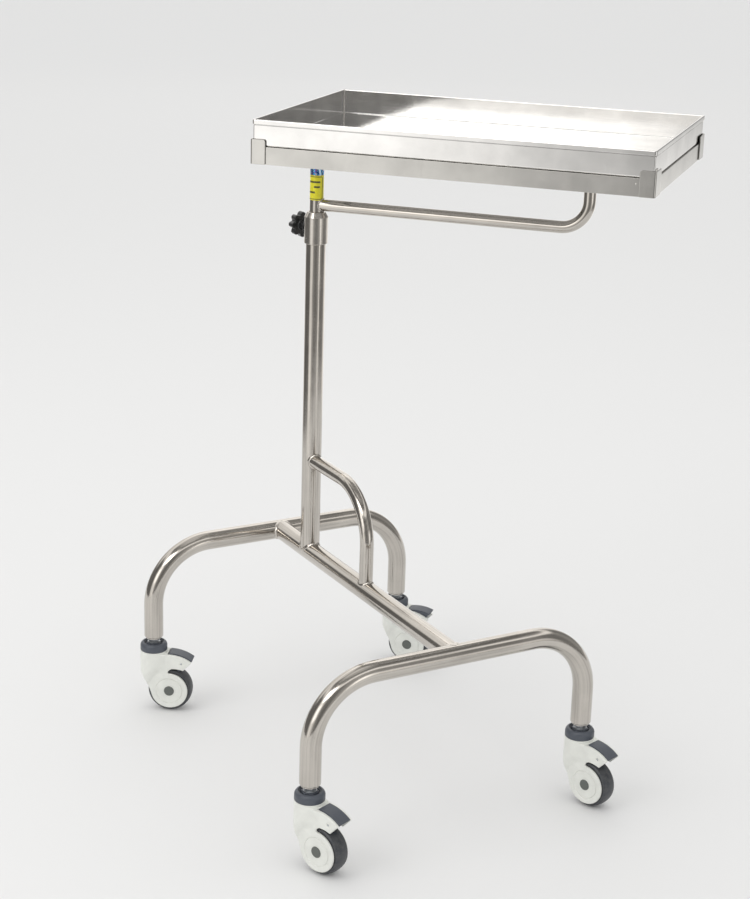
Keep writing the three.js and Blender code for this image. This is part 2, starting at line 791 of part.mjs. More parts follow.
for (const { name, x, y, trail, raised } of CASTERS) {
  const place = (geometry) => geometry
    .rotateZ(THREE.MathUtils.degToRad(trail))
    .translate(x, y, 0);
  add(`${name}_leg_plug`, place(legPlug()), STEEL);
  add(`${name}_caster_stem`, place(casterStem()), ZINC);
  add(`${name}_swivel_cap`, place(swivelCap()), SLATE_PLASTIC);
  add(`${name}_caster_housing`, place(casterHousing()), WHITE_PLASTIC);
  add(`${name}_wheel_tyre`, place(wheelTyre()), TYRE_RUBBER);
  add(`${name}_wheel_hub`, place(wheelHub()), NYLON);
  add(`${name}_wheel_axle`, place(casterAxle()), SLATE_PLASTIC);
  add(`${name}_brake_pedal`, place(brakePedal(raised)), SLATE_PLASTIC);
  add(`${name}_stop_pin`, place(stopPin()), ZINC);
}

// The row frame sits under the middle of the bounding box, on the floor.
const bounds = new THREE.Box3();
for (const { geometry } of parts) {
  bounds.union(new THREE.Box3().setFromBufferAttribute(geometry.attributes.position));
}
const middle = bounds.getCenter(new THREE.Vector3());

const cart = new THREE.Group();
cart.name = 'instrument_cart';
for (const { name, geometry, look } of parts) {
  geometry.translate(-middle.x, -middle.y, -bounds.min.z);
  const mesh = new THREE.Mesh(geometry, new THREE.MeshStandardMaterial(look));
  mesh.name = name;
  cart.add(mesh);
}

export default cart;
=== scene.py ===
"""Looks of the instrument cart: welded stainless tube base, telescopic post, tray and braked casters.

Pieces are modelled in millimetres in a frame whose Z axis is the column and whose X axis is the spine,
then placed in the row frame in metres. The tray, the arm and each caster have a local frame of their own.
"""
import json
import math
import bpy
import bmesh
import numpy as np
from mathutils import Matrix, Vector
from mathutils.geometry import delaunay_2d_cdt


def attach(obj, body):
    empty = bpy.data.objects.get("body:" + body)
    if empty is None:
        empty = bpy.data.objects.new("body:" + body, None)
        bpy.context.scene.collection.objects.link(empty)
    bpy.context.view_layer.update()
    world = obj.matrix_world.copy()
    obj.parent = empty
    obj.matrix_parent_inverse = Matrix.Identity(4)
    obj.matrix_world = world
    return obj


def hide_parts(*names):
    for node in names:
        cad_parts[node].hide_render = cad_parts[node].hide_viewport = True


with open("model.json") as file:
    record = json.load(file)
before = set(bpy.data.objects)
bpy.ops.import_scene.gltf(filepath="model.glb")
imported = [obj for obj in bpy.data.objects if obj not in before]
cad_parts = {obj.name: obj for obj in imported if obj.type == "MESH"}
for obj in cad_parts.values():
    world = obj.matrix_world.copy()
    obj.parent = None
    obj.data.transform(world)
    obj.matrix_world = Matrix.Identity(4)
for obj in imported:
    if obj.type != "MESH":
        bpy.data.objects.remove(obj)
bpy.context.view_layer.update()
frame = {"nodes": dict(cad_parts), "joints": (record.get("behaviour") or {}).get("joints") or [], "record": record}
MM = 0.001
JOINTS = {joint["name"]: joint for joint in frame["joints"]}
CASTERS = ("rear_left", "rear_right", "front_left", "front_right")

# ---- dimensions, millimetres ---------------------------------------------------------------
FRAME_R = 16
LEG_HALF_SPACING = 235.5
REAR_X = -113
FRONT_X = 471.5
ARCH_Z = 287.5
ARCH_BEND = 100
LEG_END_Z = 130.3
BRACE_R = 11
BRACE_X = 196
BRACE_Z = 448
BRACE_BEND = 86
COLUMN_TOP_Z = 855
COLLAR_R = 19
COLLAR_BOTTOM_Z = 811
COLLAR_TOP_Z = 861.3
POST_R = 11
POST_BOTTOM_Z = 340
POST_TOP_Z = 975.6
ARM_R = 9.5
ARM_Z = 872.4
ARM_REACH = 438
ARM_BEND = 43
CLAMP_Z = 831.5
CLAMP_HOLE_R = 5.6
SCREW_HOLE_R = 4.25
TUBE_BORE_R = 14.5
KNOB_R = 20.5
KNOB_LOBES = 8
KNOB_FACE = 45
KNOB_THICK = 14
TRAY_START = -30
TRAY_LENGTH = 600
TRAY_SIDE = 200
RIM_Z = 1029.5
HEM_HEIGHT = 7
HEM_OUT = 1.5
FOLD_R = 1.1
SHEET = 1.5
PAN_BOTTOM_Z = 990.3
RAIL_BOTTOM_Z = 964
RAIL_TOP_Z = 990
RAIL_FLANGE = 20
BRACKET_LEG = 22
BRACKET_END_LEG = 36
BRACKET_TOP_Z = 1001
BRACKET_CORNER = 3.0
BRACKET_OUT = 1.8
BRACKET_THICK = 1.5
BAR_WIDTH = 25
BAR_HEIGHT = 12
BAR_TOP_Z = 988.2
WHEEL_R = 37.5
TRAIL = 28.8
CHEEK_OUT = 17
CHEEK_IN = 14
CHEEK_R = 31.3
WELL_R = 40
HOUSING_R = 23
HOUSING_TOP_Z = 106.5
CAP_TOP_Z = 120.5
HOOD_R = 65.4
PEDAL_R = 67.3
PEDAL_HALF = 12
PEDAL_PIVOT = (33, 100)
PEDAL_TRAVEL = 14
SHOE_R = 37.9
STOP_PIN = (49.7, 88.6)

# ---- frames --------------------------------------------------------------------------------
AXIS = Vector(JOINTS["tray_swivel"]["pos_m"])
BASE = Matrix.Translation((AXIS.x, AXIS.y, 0)) @ Matrix.Scale(MM, 4)


def tray_frame():
    """X runs along the tray from the post, Z is up."""
    floor = next(m for m in frame["record"]["mounts"] if m["name"] == "tray_floor")
    centre = Vector(floor["pos_m"])
    turn = math.atan2(centre.y - AXIS.y, centre.x - AXIS.x)
    return BASE @ Matrix.Rotation(turn, 4, "Z")


def caster_frame(name):
    """Z is the swivel axis and X points towards the wheel."""
    swivel = Vector(JOINTS[name + "_swivel"]["pos_m"])
    wheel = Vector(JOINTS[name + "_roll"]["pos_m"])
    turn = math.atan2(wheel.y - swivel.y, wheel.x - swivel.x)
    place = Matrix.Translation((swivel.x, swivel.y, 0)) @ Matrix.Scale(MM, 4)
    return place @ Matrix.Rotation(turn, 4, "Z")


TRAY = tray_frame()


# ---- node materials ------------------------------------------------------------------------
class Look:
    """A procedural material. Its patterns follow the mesh attribute "local", in millimetres."""

    def __init__(self, name, colour, roughness, metallic=0.0, **sockets):
        self.material = bpy.data.materials.new(name)
        self.material.use_nodes = True
        self.tree = self.material.node_tree
        self.shader = self.tree.nodes["Principled BSDF"]
        self.shader.inputs["Base Color"].default_value = (*colour, 1)
        self.shader.inputs["Roughness"].default_value = roughness
        self.shader.inputs["Metallic"].default_value = metallic
        for key, value in sockets.items():
            self.shader.inputs[key.replace("_", " ")].default_value = value
        self.material.diffuse_color = (*colour, 1)
        self.local = self.attribute("local").outputs["Vector"]
        self.normal = None

    def node(self, kind, inputs=None, **settings):
        made = self.tree.nodes.new(kind)
        for key, value in settings.items():
            setattr(made, key, value)
        for key, value in (inputs or {}).items():
            self.set(made.inputs[key], value)
        return made

    def set(self, socket, value):
        if isinstance(value, bpy.types.NodeSocket):
            self.tree.links.new(value, socket)
        else:
            socket.default_value = value

    def attribute(self, name):
        return self.node("ShaderNodeAttribute", attribute_name=name)

    def math(self, operation, a, b=0.0, clamp=False):
        made = self.node("ShaderNodeMath", {0: a, 1: b}, operation=operation, use_clamp=clamp)
        return made.outputs[0]

    def noise(self, stretch=(1, 1, 1), scale=1.0, detail=2.0, roughness=0.5, shift=0.0):
        mapped = self.node("ShaderNodeMapping", {
            "Vector": self.local,
            "Location": (shift, shift * 1.7, shift * 0.6),
            "Scale": stretch,
        })
        made = self.node("ShaderNodeTexNoise", {
            "Vector": mapped.outputs[0],
            "Scale": scale,
            "Detail": detail,
            "Roughness": roughness,
        })
        return made.outputs["Fac"]

    def span(self, value, low, high, to_low=0.0, to_high=1.0):
        made = self.node("ShaderNodeMapRange", {
            "Value": value,
            "From Min": low,
            "From Max": high,
            "To Min": to_low,
            "To Max": to_high,
        }, clamp=True)
        return made.outputs[0]

    def blend(self, factor, a, b, kind="MIX"):
        made = self.node("ShaderNodeMix", {0: factor, 6: a, 7: b}, data_type="RGBA", blend_type=kind)
        return made.outputs[2]

    def bump(self, height, distance, strength=1.0):
        inputs = {"Height": height, "Distance": distance, "Strength": strength}
        if self.normal:
            inputs["Normal"] = self.normal
        self.normal = self.node("ShaderNodeBump", inputs).outputs[0]
        return self

    def finish(self, colour=None, roughness=None):
        if colour:
            self.set(self.shader.inputs["Base Color"], colour)
        if roughness:
            self.set(self.shader.inputs["Roughness"], roughness)
        if self.normal:
            self.set(self.shader.inputs["Normal"], self.normal)
        return self.material


def rgba(r, g, b):
    return (r, g, b, 1)


def steel(name, tint, roughness, grain, wave, wave_scale, heat=False, scuff=0.12, soil=0.35,
        streaks=0.0, cloudy=1.0):
    """Stainless steel: fine polishing grain, cloudy polish, hairline scuffs and a slightly wavy face.

    grain is how often the grain repeats per millimetre along each local axis.
    """
    look = Look(name, tint, roughness, metallic=1.0)
    fine = look.noise(grain, detail=3.0, roughness=0.6)
    cloud = look.noise(scale=0.018, detail=3.0, shift=7.0)
    smear = look.noise((0.05, 0.05, 0.012), detail=4.0, roughness=0.65, shift=31.0)
    hair = look.noise((1.9, 2.3, 0.05), detail=1.0, shift=11.0)
    patch = look.noise(scale=0.035, detail=2.0, shift=53.0)
    scratches = look.math("MULTIPLY", look.span(hair, 0.66, 0.72), look.span(patch, 0.52, 0.66))
    dark = tuple(0.86 * c for c in tint)
    light = tuple(min(1.0, 1.05 * c) for c in tint)
    colour = look.blend(look.span(cloud, 0.3, 0.7), rgba(*dark), rgba(*light))
    colour = look.blend(look.span(smear, 0.58, 0.8, 0.0, soil), colour, rgba(*(0.72 * c for c in tint)))
    if streaks:
        line = look.noise((0.34, 0.34, 0.006), detail=3.0, roughness=0.6, shift=23.0)
        colour = look.blend(look.span(line, 0.5, 0.66, 0.0, streaks), colour, rgba(*(0.66 * c for c in tint)))
        colour = look.blend(look.span(line, 0.36, 0.46, streaks, 0.0), colour, rgba(*light))
    rough = look.math("ADD", look.span(fine, 0.25, 0.75, -0.04, 0.05), roughness)
    rough = look.math("ADD", rough, look.span(cloud, 0.3, 0.75, -0.03 * cloudy, 0.06 * cloudy))
    rough = look.math("ADD", rough, look.span(smear, 0.55, 0.8, 0.0, 0.09 * cloudy))
    rough = look.math("ADD", rough, look.math("MULTIPLY", scratches, scuff))
    # The "seam" attribute, set on the tray pan only, darkens the colour towards 0.42 of the tint and makes the
    # steel rougher: painted shade under the pan, a painted shadow line along the hem's lower lip, and darker along
    # the floor fold.
    seam = look.attribute("seam").outputs["Fac"]
    colour = look.blend(look.span(seam, 0.0, 1.0, 0.0, 0.75), colour, rgba(*(0.42 * c for c in tint)))
    rough = look.math("ADD", rough, look.span(seam, 0.0, 1.0, 0.0, 0.2))
    if heat:
        tint_at = look.attribute("heat").outputs["Fac"]
        ragged = look.math("MULTIPLY", tint_at,
            look.span(look.noise(scale=0.25, detail=3.0), 0.3, 0.7, 0.6, 1.25))
        colour = look.blend(look.span(ragged, 0.12, 0.5, 0.0, 0.55), colour, rgba(0.46, 0.36, 0.24))
        colour = look.blend(look.span(ragged, 0.55, 0.95, 0.0, 0.6), colour, rgba(0.2, 0.19, 0.21))
        rough = look.math("ADD", rough, look.span(ragged, 0.2, 0.9, 0.0, 0.16))
    look.bump(look.noise(scale=wave_scale, detail=1.0, shift=3.0), wave)
    look.bump(fine, 0.0000022)
    look.bump(scratches, 0.000004)
    return look.finish(colour, rough)


def zinc():
    look = Look("zinc_plate", (0.58, 0.60, 0.62), 0.34, metallic=1.0)
    spots = look.noise(scale=0.6, detail=4.0)
    colour = look.blend(look.span(spots, 0.35, 0.7), rgba(0.42, 0.44, 0.46), rgba(0.66, 0.68, 0.70))
    rough = look.span(spots, 0.3, 0.7, 0.28, 0.46)
    look.bump(look.noise(scale=3.0, detail=2.0), 0.000008)
    return look.finish(colour, rough)


def moulded(name, colour, roughness, grain, depth, soil, **sockets):
    """Moulded plastic: fine spark-eroded grain, a slow change of tone and a little soil."""
    look = Look(name, colour, roughness, **sockets)
    tone = look.noise(scale=0.05, detail=3.0)
    dirt = look.noise(scale=0.16, detail=5.0, roughness=0.7, shift=19.0)
    deep = rgba(*(0.9 * c for c in colour))
    base = look.blend(look.span(tone, 0.3, 0.7), deep, rgba(*colour))
    base = look.blend(look.span(dirt, 0.58, 0.8, 0.0, soil), base, rgba(*(0.55 * c for c in colour)))
    rough = look.math("ADD", look.span(dirt, 0.35, 0.8, -0.05, 0.12), roughness)
    look.bump(look.noise(scale=grain, detail=2.0), depth)
    scuffs = look.span(look.noise((1.3, 0.09, 1.1), detail=1.0, shift=5.0), 0.68, 0.74)
    look.bump(scuffs, 0.00001)
    return look.finish(base, rough)


def rubber():
    look = Look("tyre_rubber", (0.06, 0.063, 0.07), 0.55)
    dust = look.noise(scale=0.12, detail=6.0, roughness=0.7)
    fleck = look.noise(scale=1.6, detail=3.0, shift=4.0)
    base = look.blend(look.span(dust, 0.42, 0.75, 0.0, 0.7), rgba(0.038, 0.042, 0.050),
        rgba(0.115, 0.115, 0.11))
    base = look.blend(look.span(fleck, 0.64, 0.75, 0.0, 0.5), base, rgba(0.24, 0.235, 0.22))
    rough = look.span(dust, 0.35, 0.75, 0.34, 0.62)
    look.bump(look.noise(scale=1.1, detail=4.0), 0.00003)
    return look.finish(base, rough)


def knob_plastic():
    look = Look("black_plastic", (0.011, 0.012, 0.013), 0.3, Coat_Weight=0.25, Coat_Roughness=0.2)
    fleck = look.noise(scale=0.5, detail=4.0)
    base = look.blend(look.span(fleck, 0.5, 0.8, 0.0, 0.6), rgba(0.010, 0.011, 0.012),
        rgba(0.035, 0.035, 0.036))
    rough = look.span(fleck, 0.3, 0.8, 0.24, 0.42)
    look.bump(look.noise(scale=2.2, detail=2.0), 0.000012)
    return look.finish(base, rough)


def brass():
    look = Look("brass", (0.62, 0.44, 0.18), 0.32, metallic=1.0)
    tarnish = look.noise(scale=0.5, detail=4.0)
    base = look.blend(look.span(tarnish, 0.4, 0.75), rgba(0.62, 0.44, 0.18), rgba(0.3, 0.2, 0.09))
    look.bump(look.noise((0.2, 3.0, 3.0), detail=2.0), 0.000006)
    return look.finish(base, look.span(tarnish, 0.3, 0.8, 0.24, 0.5))


def label_paper():
    """Yellow vinyl with a thin dark frame and plain bars. The attribute "local" runs across and up it."""
    look = Look("label_yellow", (0.72, 0.68, 0.02), 0.38, Coat_Weight=0.35, Coat_Roughness=0.12)
    split = look.node("ShaderNodeSeparateXYZ", {0: look.local}).outputs
    across = look.math("ABSOLUTE", split[0])
    up = look.math("ABSOLUTE", split[1])
    past_x = look.math("MAXIMUM", look.math("SUBTRACT", across, LABEL_FRAME_X - 2.2), 0.0)
    past_y = look.math("MAXIMUM", look.math("SUBTRACT", up, LABEL_FRAME_Y - 2.2), 0.0)
    corner = look.math("SQRT", look.math("ADD", look.math("POWER", past_x, 2.0), look.math("POWER",
        past_y, 2.0)))
    line = look.span(look.math("ABSOLUTE", look.math("SUBTRACT", corner, 2.2)), 0.5, 0.7, 1.0, 0.0)
    ink = line
    for height, near, far in ((9.4, -13.0, 11.0), (1.6, 1.0, 10.5), (-7.0, -13.0, 2.5)):
        row = look.span(look.math("ABSOLUTE", look.math("SUBTRACT", split[1], height)), 1.4, 1.6, 1.0, 0.0)
        middle = (near + far) / 2
        half = (far - near) / 2
        reach = look.math("ABSOLUTE", look.math("SUBTRACT", split[0], middle))
        ink = look.math("MAXIMUM", ink,
            look.math("MULTIPLY", row, look.span(reach, half, half + 0.2, 1.0, 0.0)))
    fade = look.noise(scale=0.4, detail=3.0)
    paper = look.blend(look.span(fade, 0.3, 0.7), rgba(0.70, 0.63, 0.006), rgba(0.80, 0.74, 0.012))
    colour = look.blend(look.math("MULTIPLY", ink, 0.9), paper, rgba(0.02, 0.02, 0.018))
    look.bump(look.noise(scale=0.35, detail=3.0), 0.00004)
    return look.finish(colour, look.span(fade, 0.3, 0.7, 0.3, 0.46))


def foil():
    """Holographic tape: broken patches of blue, teal and violet on a metal film."""
    look = Look("foil_blue", (0.12, 0.26, 0.6), 0.22, metallic=0.9)
    patch = look.node("ShaderNodeTexVoronoi", {"Vector": look.local, "Scale": 0.55})
    hue = look.node("ShaderNodeSeparateColor", {0: patch.outputs["Color"]}).outputs[0]
    colour = look.blend(look.span(hue, 0.3, 0.45), rgba(0.03, 0.11, 0.42), rgba(0.1, 0.5, 0.75))
    colour = look.blend(look.span(hue, 0.6, 0.7), colour, rgba(0.62, 0.72, 0.82))
    colour = look.blend(look.span(hue, 0.86, 0.9), colour, rgba(0.42, 0.1, 0.4))
    look.bump(hue, 0.00006)
    return look.finish(colour, look.span(look.noise(scale=0.8), 0.3, 0.7, 0.16, 0.34))


LABEL_BOTTOM_Z = 880.5
LABEL_TOP_Z = 920
LABEL_HALF_WIDTH = 20
LABEL_FRAME_X = 15.2
LABEL_FRAME_Y = 17.6
FOIL_TOP_Z = 932
FILM = 0.12

TUBE_TINT = (0.60, 0.565, 0.52)
LOOKS = {
    "tube_steel": steel("tube_steel", TUBE_TINT, 0.13, (2.2, 2.2, 0.02), 0.00005, 0.03, heat=True,
        streaks=0.6),
    "arm_steel": steel("arm_steel", TUBE_TINT, 0.09, (2.2, 2.2, 0.02), 0.00004, 0.03, heat=True, streaks=0.3),
    "turned_steel": steel("turned_steel", (0.64, 0.605, 0.56), 0.2, (0.4, 0.4, 3.0), 0.00002, 0.04,
        heat=True),
    "frame_steel": steel("frame_steel", (0.60, 0.59, 0.565), 0.13, (0.02, 2.6, 2.6), 0.00012, 0.02,
        heat=True, soil=0.2),
    "tray_steel": steel("tray_steel", (0.88, 0.872, 0.86), 0.07, (0.02, 2.8, 2.8), 0.00003, 0.014, soil=0.1,
                        cloudy=0.35),
    "seam_steel": steel("seam_steel", (0.93, 0.90, 0.86), 0.42, (1.2, 1.2, 1.2), 0.00002, 0.4),
    "zinc_plate": zinc(),
    "nylon": moulded("nylon", (0.72, 0.70, 0.64), 0.5, 1.6, 0.00001, 0.25),
    "black_plastic": knob_plastic(),
    "slate_plastic": moulded("slate_plastic", (0.074, 0.084, 0.104), 0.42, 1.5, 0.00003, 0.3),
    "cap_plastic": moulded("cap_plastic", (0.115, 0.125, 0.115), 0.42, 1.2, 0.00003, 0.3),
    "white_plastic": moulded("white_plastic", (0.79, 0.80, 0.755), 0.38, 1.3, 0.00002, 0.12),
    "tyre_rubber": rubber(),
    "brass": brass(),
    "label": label_paper(),
    "foil": foil(),
}


# ---- mesh tools ----------------------------------------------------------------------------
class Shape:
    """Points and faces in local millimetres, with the coordinates that its material follows."""

    def __init__(self, points=(), faces=(), local=None):
        self.points = [tuple(p) for p in points]
        self.faces = [tuple(f) for f in faces]
        self.local = [tuple(p) for p in (local if local is not None else self.points)]

    def add(self, other):
        start = len(self.points)
        self.points += other.points
        self.local += other.local
        self.faces += [tuple(i + start for i in face) for face in other.faces]
        return self

    def moved(self, matrix):
        points = [tuple(matrix @ Vector(p)) for p in self.points]
        return Shape(points, self.faces, self.local)

    def turned_over(self):
        return Shape(self.points, [face[::-1] for face in self.faces], self.local)


WELD_CURVES = []


def heat_at(points):
    """0 to 1, rising towards the nearest weld. points are in the row frame, in metres."""
    if not WELD_CURVES:
        return np.zeros(len(points))
    curve = np.concatenate(WELD_CURVES)
    near = np.full(len(points), 1e9)
    for start in range(0, len(curve), 64):
        chunk = curve[start:start + 64]
        distance = np.linalg.norm(points[:, None, :] - chunk[None, :, :], axis=2).min(axis=1)
        near = np.minimum(near, distance)
    return np.exp(-np.maximum(near / MM - 1.5, 0) / 4.5)


def with_even_flats(obj):
    """Lets each large flat or round face keep its own normals, so that the small roundings carry the turn."""
    modifier = obj.modifiers.new("even_flats", "WEIGHTED_NORMAL")
    modifier.keep_sharp = True
    graph = bpy.context.evaluated_depsgraph_get()
    result = bpy.data.meshes.new_from_object(obj.evaluated_get(graph))
    obj.modifiers.clear()
    old = obj.data
    name = old.name
    obj.data = result
    bpy.data.meshes.remove(old)
    result.name = name


def piece(name, shape, place, look, body, stands_for=(), crease=32, even=True):
    """A named mesh of this shape, put in place, with its material, and riding on its body."""
    mesh = bpy.data.meshes.new(name)
    points = [place @ Vector(p) for p in shape.points]
    mesh.from_pydata(points, [], shape.faces)
    mesh.validate()
    mesh.update()
    local = mesh.attributes.new("local", "FLOAT_VECTOR", "POINT")
    local.data.foreach_set("vector", np.array(shape.local, np.float32).ravel())
    heat = mesh.attributes.new("heat", "FLOAT", "POINT")
    heat.data.foreach_set("value", heat_at(np.array(points, float).reshape(-1, 3)).astype(np.float32))
    mesh.materials.append(LOOKS[look])
    mesh.shade_smooth()
    mesh.set_sharp_from_angle(angle=math.radians(crease))
    obj = bpy.data.objects.new(name, mesh)
    bpy.context.scene.collection.objects.link(obj)
    if even:
        with_even_flats(obj)
    if stands_for:
        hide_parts(*stands_for)
    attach(obj, body)
    return obj


def softened(points, radius, closed=True, steps=3, sharp_under=12):
    """A polyline with its corners rounded, as far as the neighbouring sides leave room."""
    result = []
    count = len(points)
    for i, here in enumerate(points):
        here = Vector(here)
        if not closed and i in (0, count - 1):
            result.append(tuple(here))
            continue
        before = Vector(points[i - 1]) - here
        after = Vector(points[(i + 1) % count]) - here
        if before.length < 1e-6 or after.length < 1e-6:
            continue
        turn = math.pi - before.angle(after)
        if math.degrees(turn) < sharp_under:
            result.append(tuple(here))
            continue
        cut = min(radius * math.tan(turn / 2), 0.42 * before.length, 0.42 * after.length)
        start = here + before.normalized() * cut
        end = here + after.normalized() * cut
        for k in range(steps + 1):
            t = k / steps
            result.append(tuple(start * (1 - t) ** 2 + here * 2 * t * (1 - t) + end * t * t))
    return result


def lathe(section, segments=64, radius=0.4, closed=True, steps=3):
    """Turned about Z. section lists (r, z) anticlockwise, seen with r to the right and z up."""
    ring = softened(section, radius, closed, steps)
    shape = Shape()
    rows = []
    for r, z in ring:
        if r < 1e-6:
            rows.append([len(shape.points)])
            shape.points.append((0, 0, z))
            continue
        start = len(shape.points)
        rows.append(list(range(start, start + segments)))
        for s in range(segments):
            a = 2 * math.pi * s / segments
            shape.points.append((r * math.cos(a), r * math.sin(a), z))
    pairs = list(zip(rows, rows[1:]))
    if closed:
        pairs.append((rows[-1], rows[0]))
    for low, high in pairs:
        if len(low) == 1 and len(high) == 1:
            continue
        for s in range(segments):
            t = (s + 1) % segments
            if len(low) == 1:
                shape.faces.append((low[0], high[t], high[s]))
            elif len(high) == 1:
                shape.faces.append((low[s], low[t], high[0]))
            else:
                shape.faces.append((low[s], low[t], high[t], high[s]))
    shape.local = list(shape.points)
    return shape


def along_y(shape, x=0.0, z=0.0):
    """A shape turned so that its Z axis runs along Y, moved to (x, z)."""
    return shape.moved(Matrix.Translation((x, 0, z)) @ Matrix.Rotation(math.pi / 2, 4, "X"))


def loft(rings, closed_path=False, caps=True):
    """Rings of equally many points joined in order."""
    shape = Shape()
    size = len(rings[0])
    for ring in rings:
        shape.points += [tuple(p) for p in ring]
    count = len(rings)
    for i in range(count if closed_path else count - 1):
        j = (i + 1) % count
        for s in range(size):
            t = (s + 1) % size
            shape.faces.append((i * size + s, i * size + t, j * size + t, j * size + s))
    if caps and not closed_path:
        shape.faces.append(tuple(reversed(range(size))))
        last = (count - 1) * size
        shape.faces.append(tuple(range(last, last + size)))
    shape.local = list(shape.points)
    return shape


def smoothed_prism(outline, half, bevel, steps=3):
    """An X-Z outline drawn out along Y, with rounded edges. The outline runs anticlockwise in X-Z."""
    mesh = bmesh.new()
    front = [mesh.verts.new((x, -half, z)) for x, z in outline]
    back = [mesh.verts.new((x, half, z)) for x, z in outline]
    count = len(outline)
    mesh.faces.new(front)
    mesh.faces.new(back[::-1])
    for i in range(count):
        j = (i + 1) % count
        mesh.faces.new((front[i], back[i], back[j], front[j]))
    return bevelled(mesh, bevel, steps)


def bevelled(mesh, width, steps=3, over=25):
    """Rounds every edge whose faces meet at more than this many degrees, and frees the bmesh."""
    bmesh.ops.recalc_face_normals(mesh, faces=mesh.faces)
    mesh.normal_update()
    limit = math.radians(over)
    edges = [e for e in mesh.edges if len(e.link_faces) == 2 and e.calc_face_angle(0) > limit]
    if edges and width > 0:
        bmesh.ops.bevel(
            mesh,
            geom=edges,
            offset=width,
            segments=steps,
            profile=0.5,
            affect="EDGES",
            clamp_overlap=True,
        )
    bmesh.ops.remove_doubles(mesh, verts=mesh.verts, dist=1e-4)
    mesh.verts.ensure_lookup_table()
    mesh.verts.index_update()
    points = [tuple(v.co) for v in mesh.verts]
    faces = [tuple(v.index for v in f.verts) for f in mesh.faces]
    mesh.free()
    return Shape(points, faces)


def scratch_object(shape, name):
    mesh = bpy.data.meshes.new(name)
    mesh.from_pydata(shape.points, [], shape.faces)
    mesh.update()
    obj = bpy.data.objects.new(name, mesh)
    bpy.context.scene.collection.objects.link(obj)
    return obj


def combined(shape, steps):
    """shape with others added or taken away: steps lists ("UNION" or "DIFFERENCE", other shape)."""
    obj = scratch_object(shape, "work")
    for i, (operation, tool_shape) in enumerate(steps):
        tool = scratch_object(tool_shape, "tool")
        modifier = obj.modifiers.new("step", "BOOLEAN")
        modifier.operation = operation
        modifier.object = tool
        modifier.solver = "MANIFOLD"
        graph = bpy.context.evaluated_depsgraph_get()
        result = bpy.data.meshes.new_from_object(obj.evaluated_get(graph))
        obj.modifiers.clear()
        old = obj.data
        obj.data = result
        bpy.data.meshes.remove(old)
        tool_mesh = tool.data
        bpy.data.objects.remove(tool)
        bpy.data.meshes.remove(tool_mesh)
    mesh = bmesh.new()
    mesh.from_mesh(obj.data)
    work = obj.data
    bpy.data.objects.remove(obj)
    bpy.data.meshes.remove(work)
    return mesh


def arc(cx, cz, radius, start, end, steps):
    angles = [math.radians(start + (end - start) * i / steps) for i in range(steps + 1)]
    return [(cx + radius * math.cos(a), cz + radius * math.sin(a)) for a in angles]


# ---- tubes and welds -----------------------------------------------------------------------
def bent_path(corners, bend, straight_step=6.0, bend_steps=24):
    """Points (u, z), directions and bend amounts along straight runs joined by quarter bends."""
    stations = []
    points = [Vector(c) for c in corners]
    start = points[0]
    for i in range(1, len(points)):
        inward = (points[i] - points[i - 1]).normalized()
        last = i == len(points) - 1
        end = points[i] if last else points[i] - inward * bend
        count = max(2, int((end - start).length / straight_step))
        for k in range(count + 1):
            stations.append((start.lerp(end, k / count), inward, 0.0))
        if last:
            break
        outward = (points[i + 1] - points[i]).normalized()
        centre = end + outward * bend
        for k in range(1, bend_steps):
            a = (math.pi / 2) * k / bend_steps
            here = centre - outward * bend * math.cos(a) + inward * bend * math.sin(a)
            stations.append((here, inward * math.cos(a) + outward * math.sin(a), math.sin(2 * a)))
        start = centre + inward * bend
    return stations


def rounded_ends(stations):
    """The stations with extra ones near both ends, and how far the surface draws in at each."""
    extra = ((0.0, 1.5), (0.35, 0.75), (0.9, 0.28), (1.8, 0.0))
    first, second = stations[0], stations[-1]
    opening = [(first[0] + first[1] * at, first[1], 0.0, inset) for at, inset in extra]
    closing = [(second[0] - second[1] * at, second[1], 0.0, inset) for at, inset in reversed(extra)]
    middle = [(*station, 0.0) for station in stations[1:-1]]
    return opening + middle + closing


def tube(stations, radius, segments=64, flatten=0.022):
    """A round tube swept along flat stations, u along X and z along Z, slightly ovalled in its bends."""
    rings = []
    local = []
    travelled = 0.0
    before = stations[0][0]
    for point, along, bentness, inset in rounded_ends(stations):
        travelled += (point - before).length
        before = point
        outer = radius - inset
        inner = outer * (1 - flatten * bentness)
        for s in range(segments):
            a = 2 * math.pi * s / segments
            side = inner * math.cos(a)
            rings.append((point.x - along.y * side, outer * math.sin(a), point.y + along.x * side))
            local.append((radius * math.cos(a), radius * math.sin(a), travelled))
    shape = loft([rings[i:i + segments] for i in range(0, len(rings), segments)])
    shape.local = local
    return shape.turned_over()


def straight(corner_a, corner_b, radius, step=6.0):
    return tube(bent_path([corner_a, corner_b], 0, step), radius)


def weld_curve(branch_r, main_r, steps=144):
    """Where a branch along +Z meets a main tube along X: points and both outward normals."""
    curve = []
    for k in range(steps):
        a = 2 * math.pi * k / steps
        x = branch_r * math.cos(a)
        y = branch_r * math.sin(a)
        z = math.sqrt(max(main_r ** 2 - y ** 2, 0.0))
        curve.append((
            Vector((x, y, z)),
            Vector((math.cos(a), math.sin(a), 0)),
            Vector((0, y, z)) / main_r,
        ))
    return curve


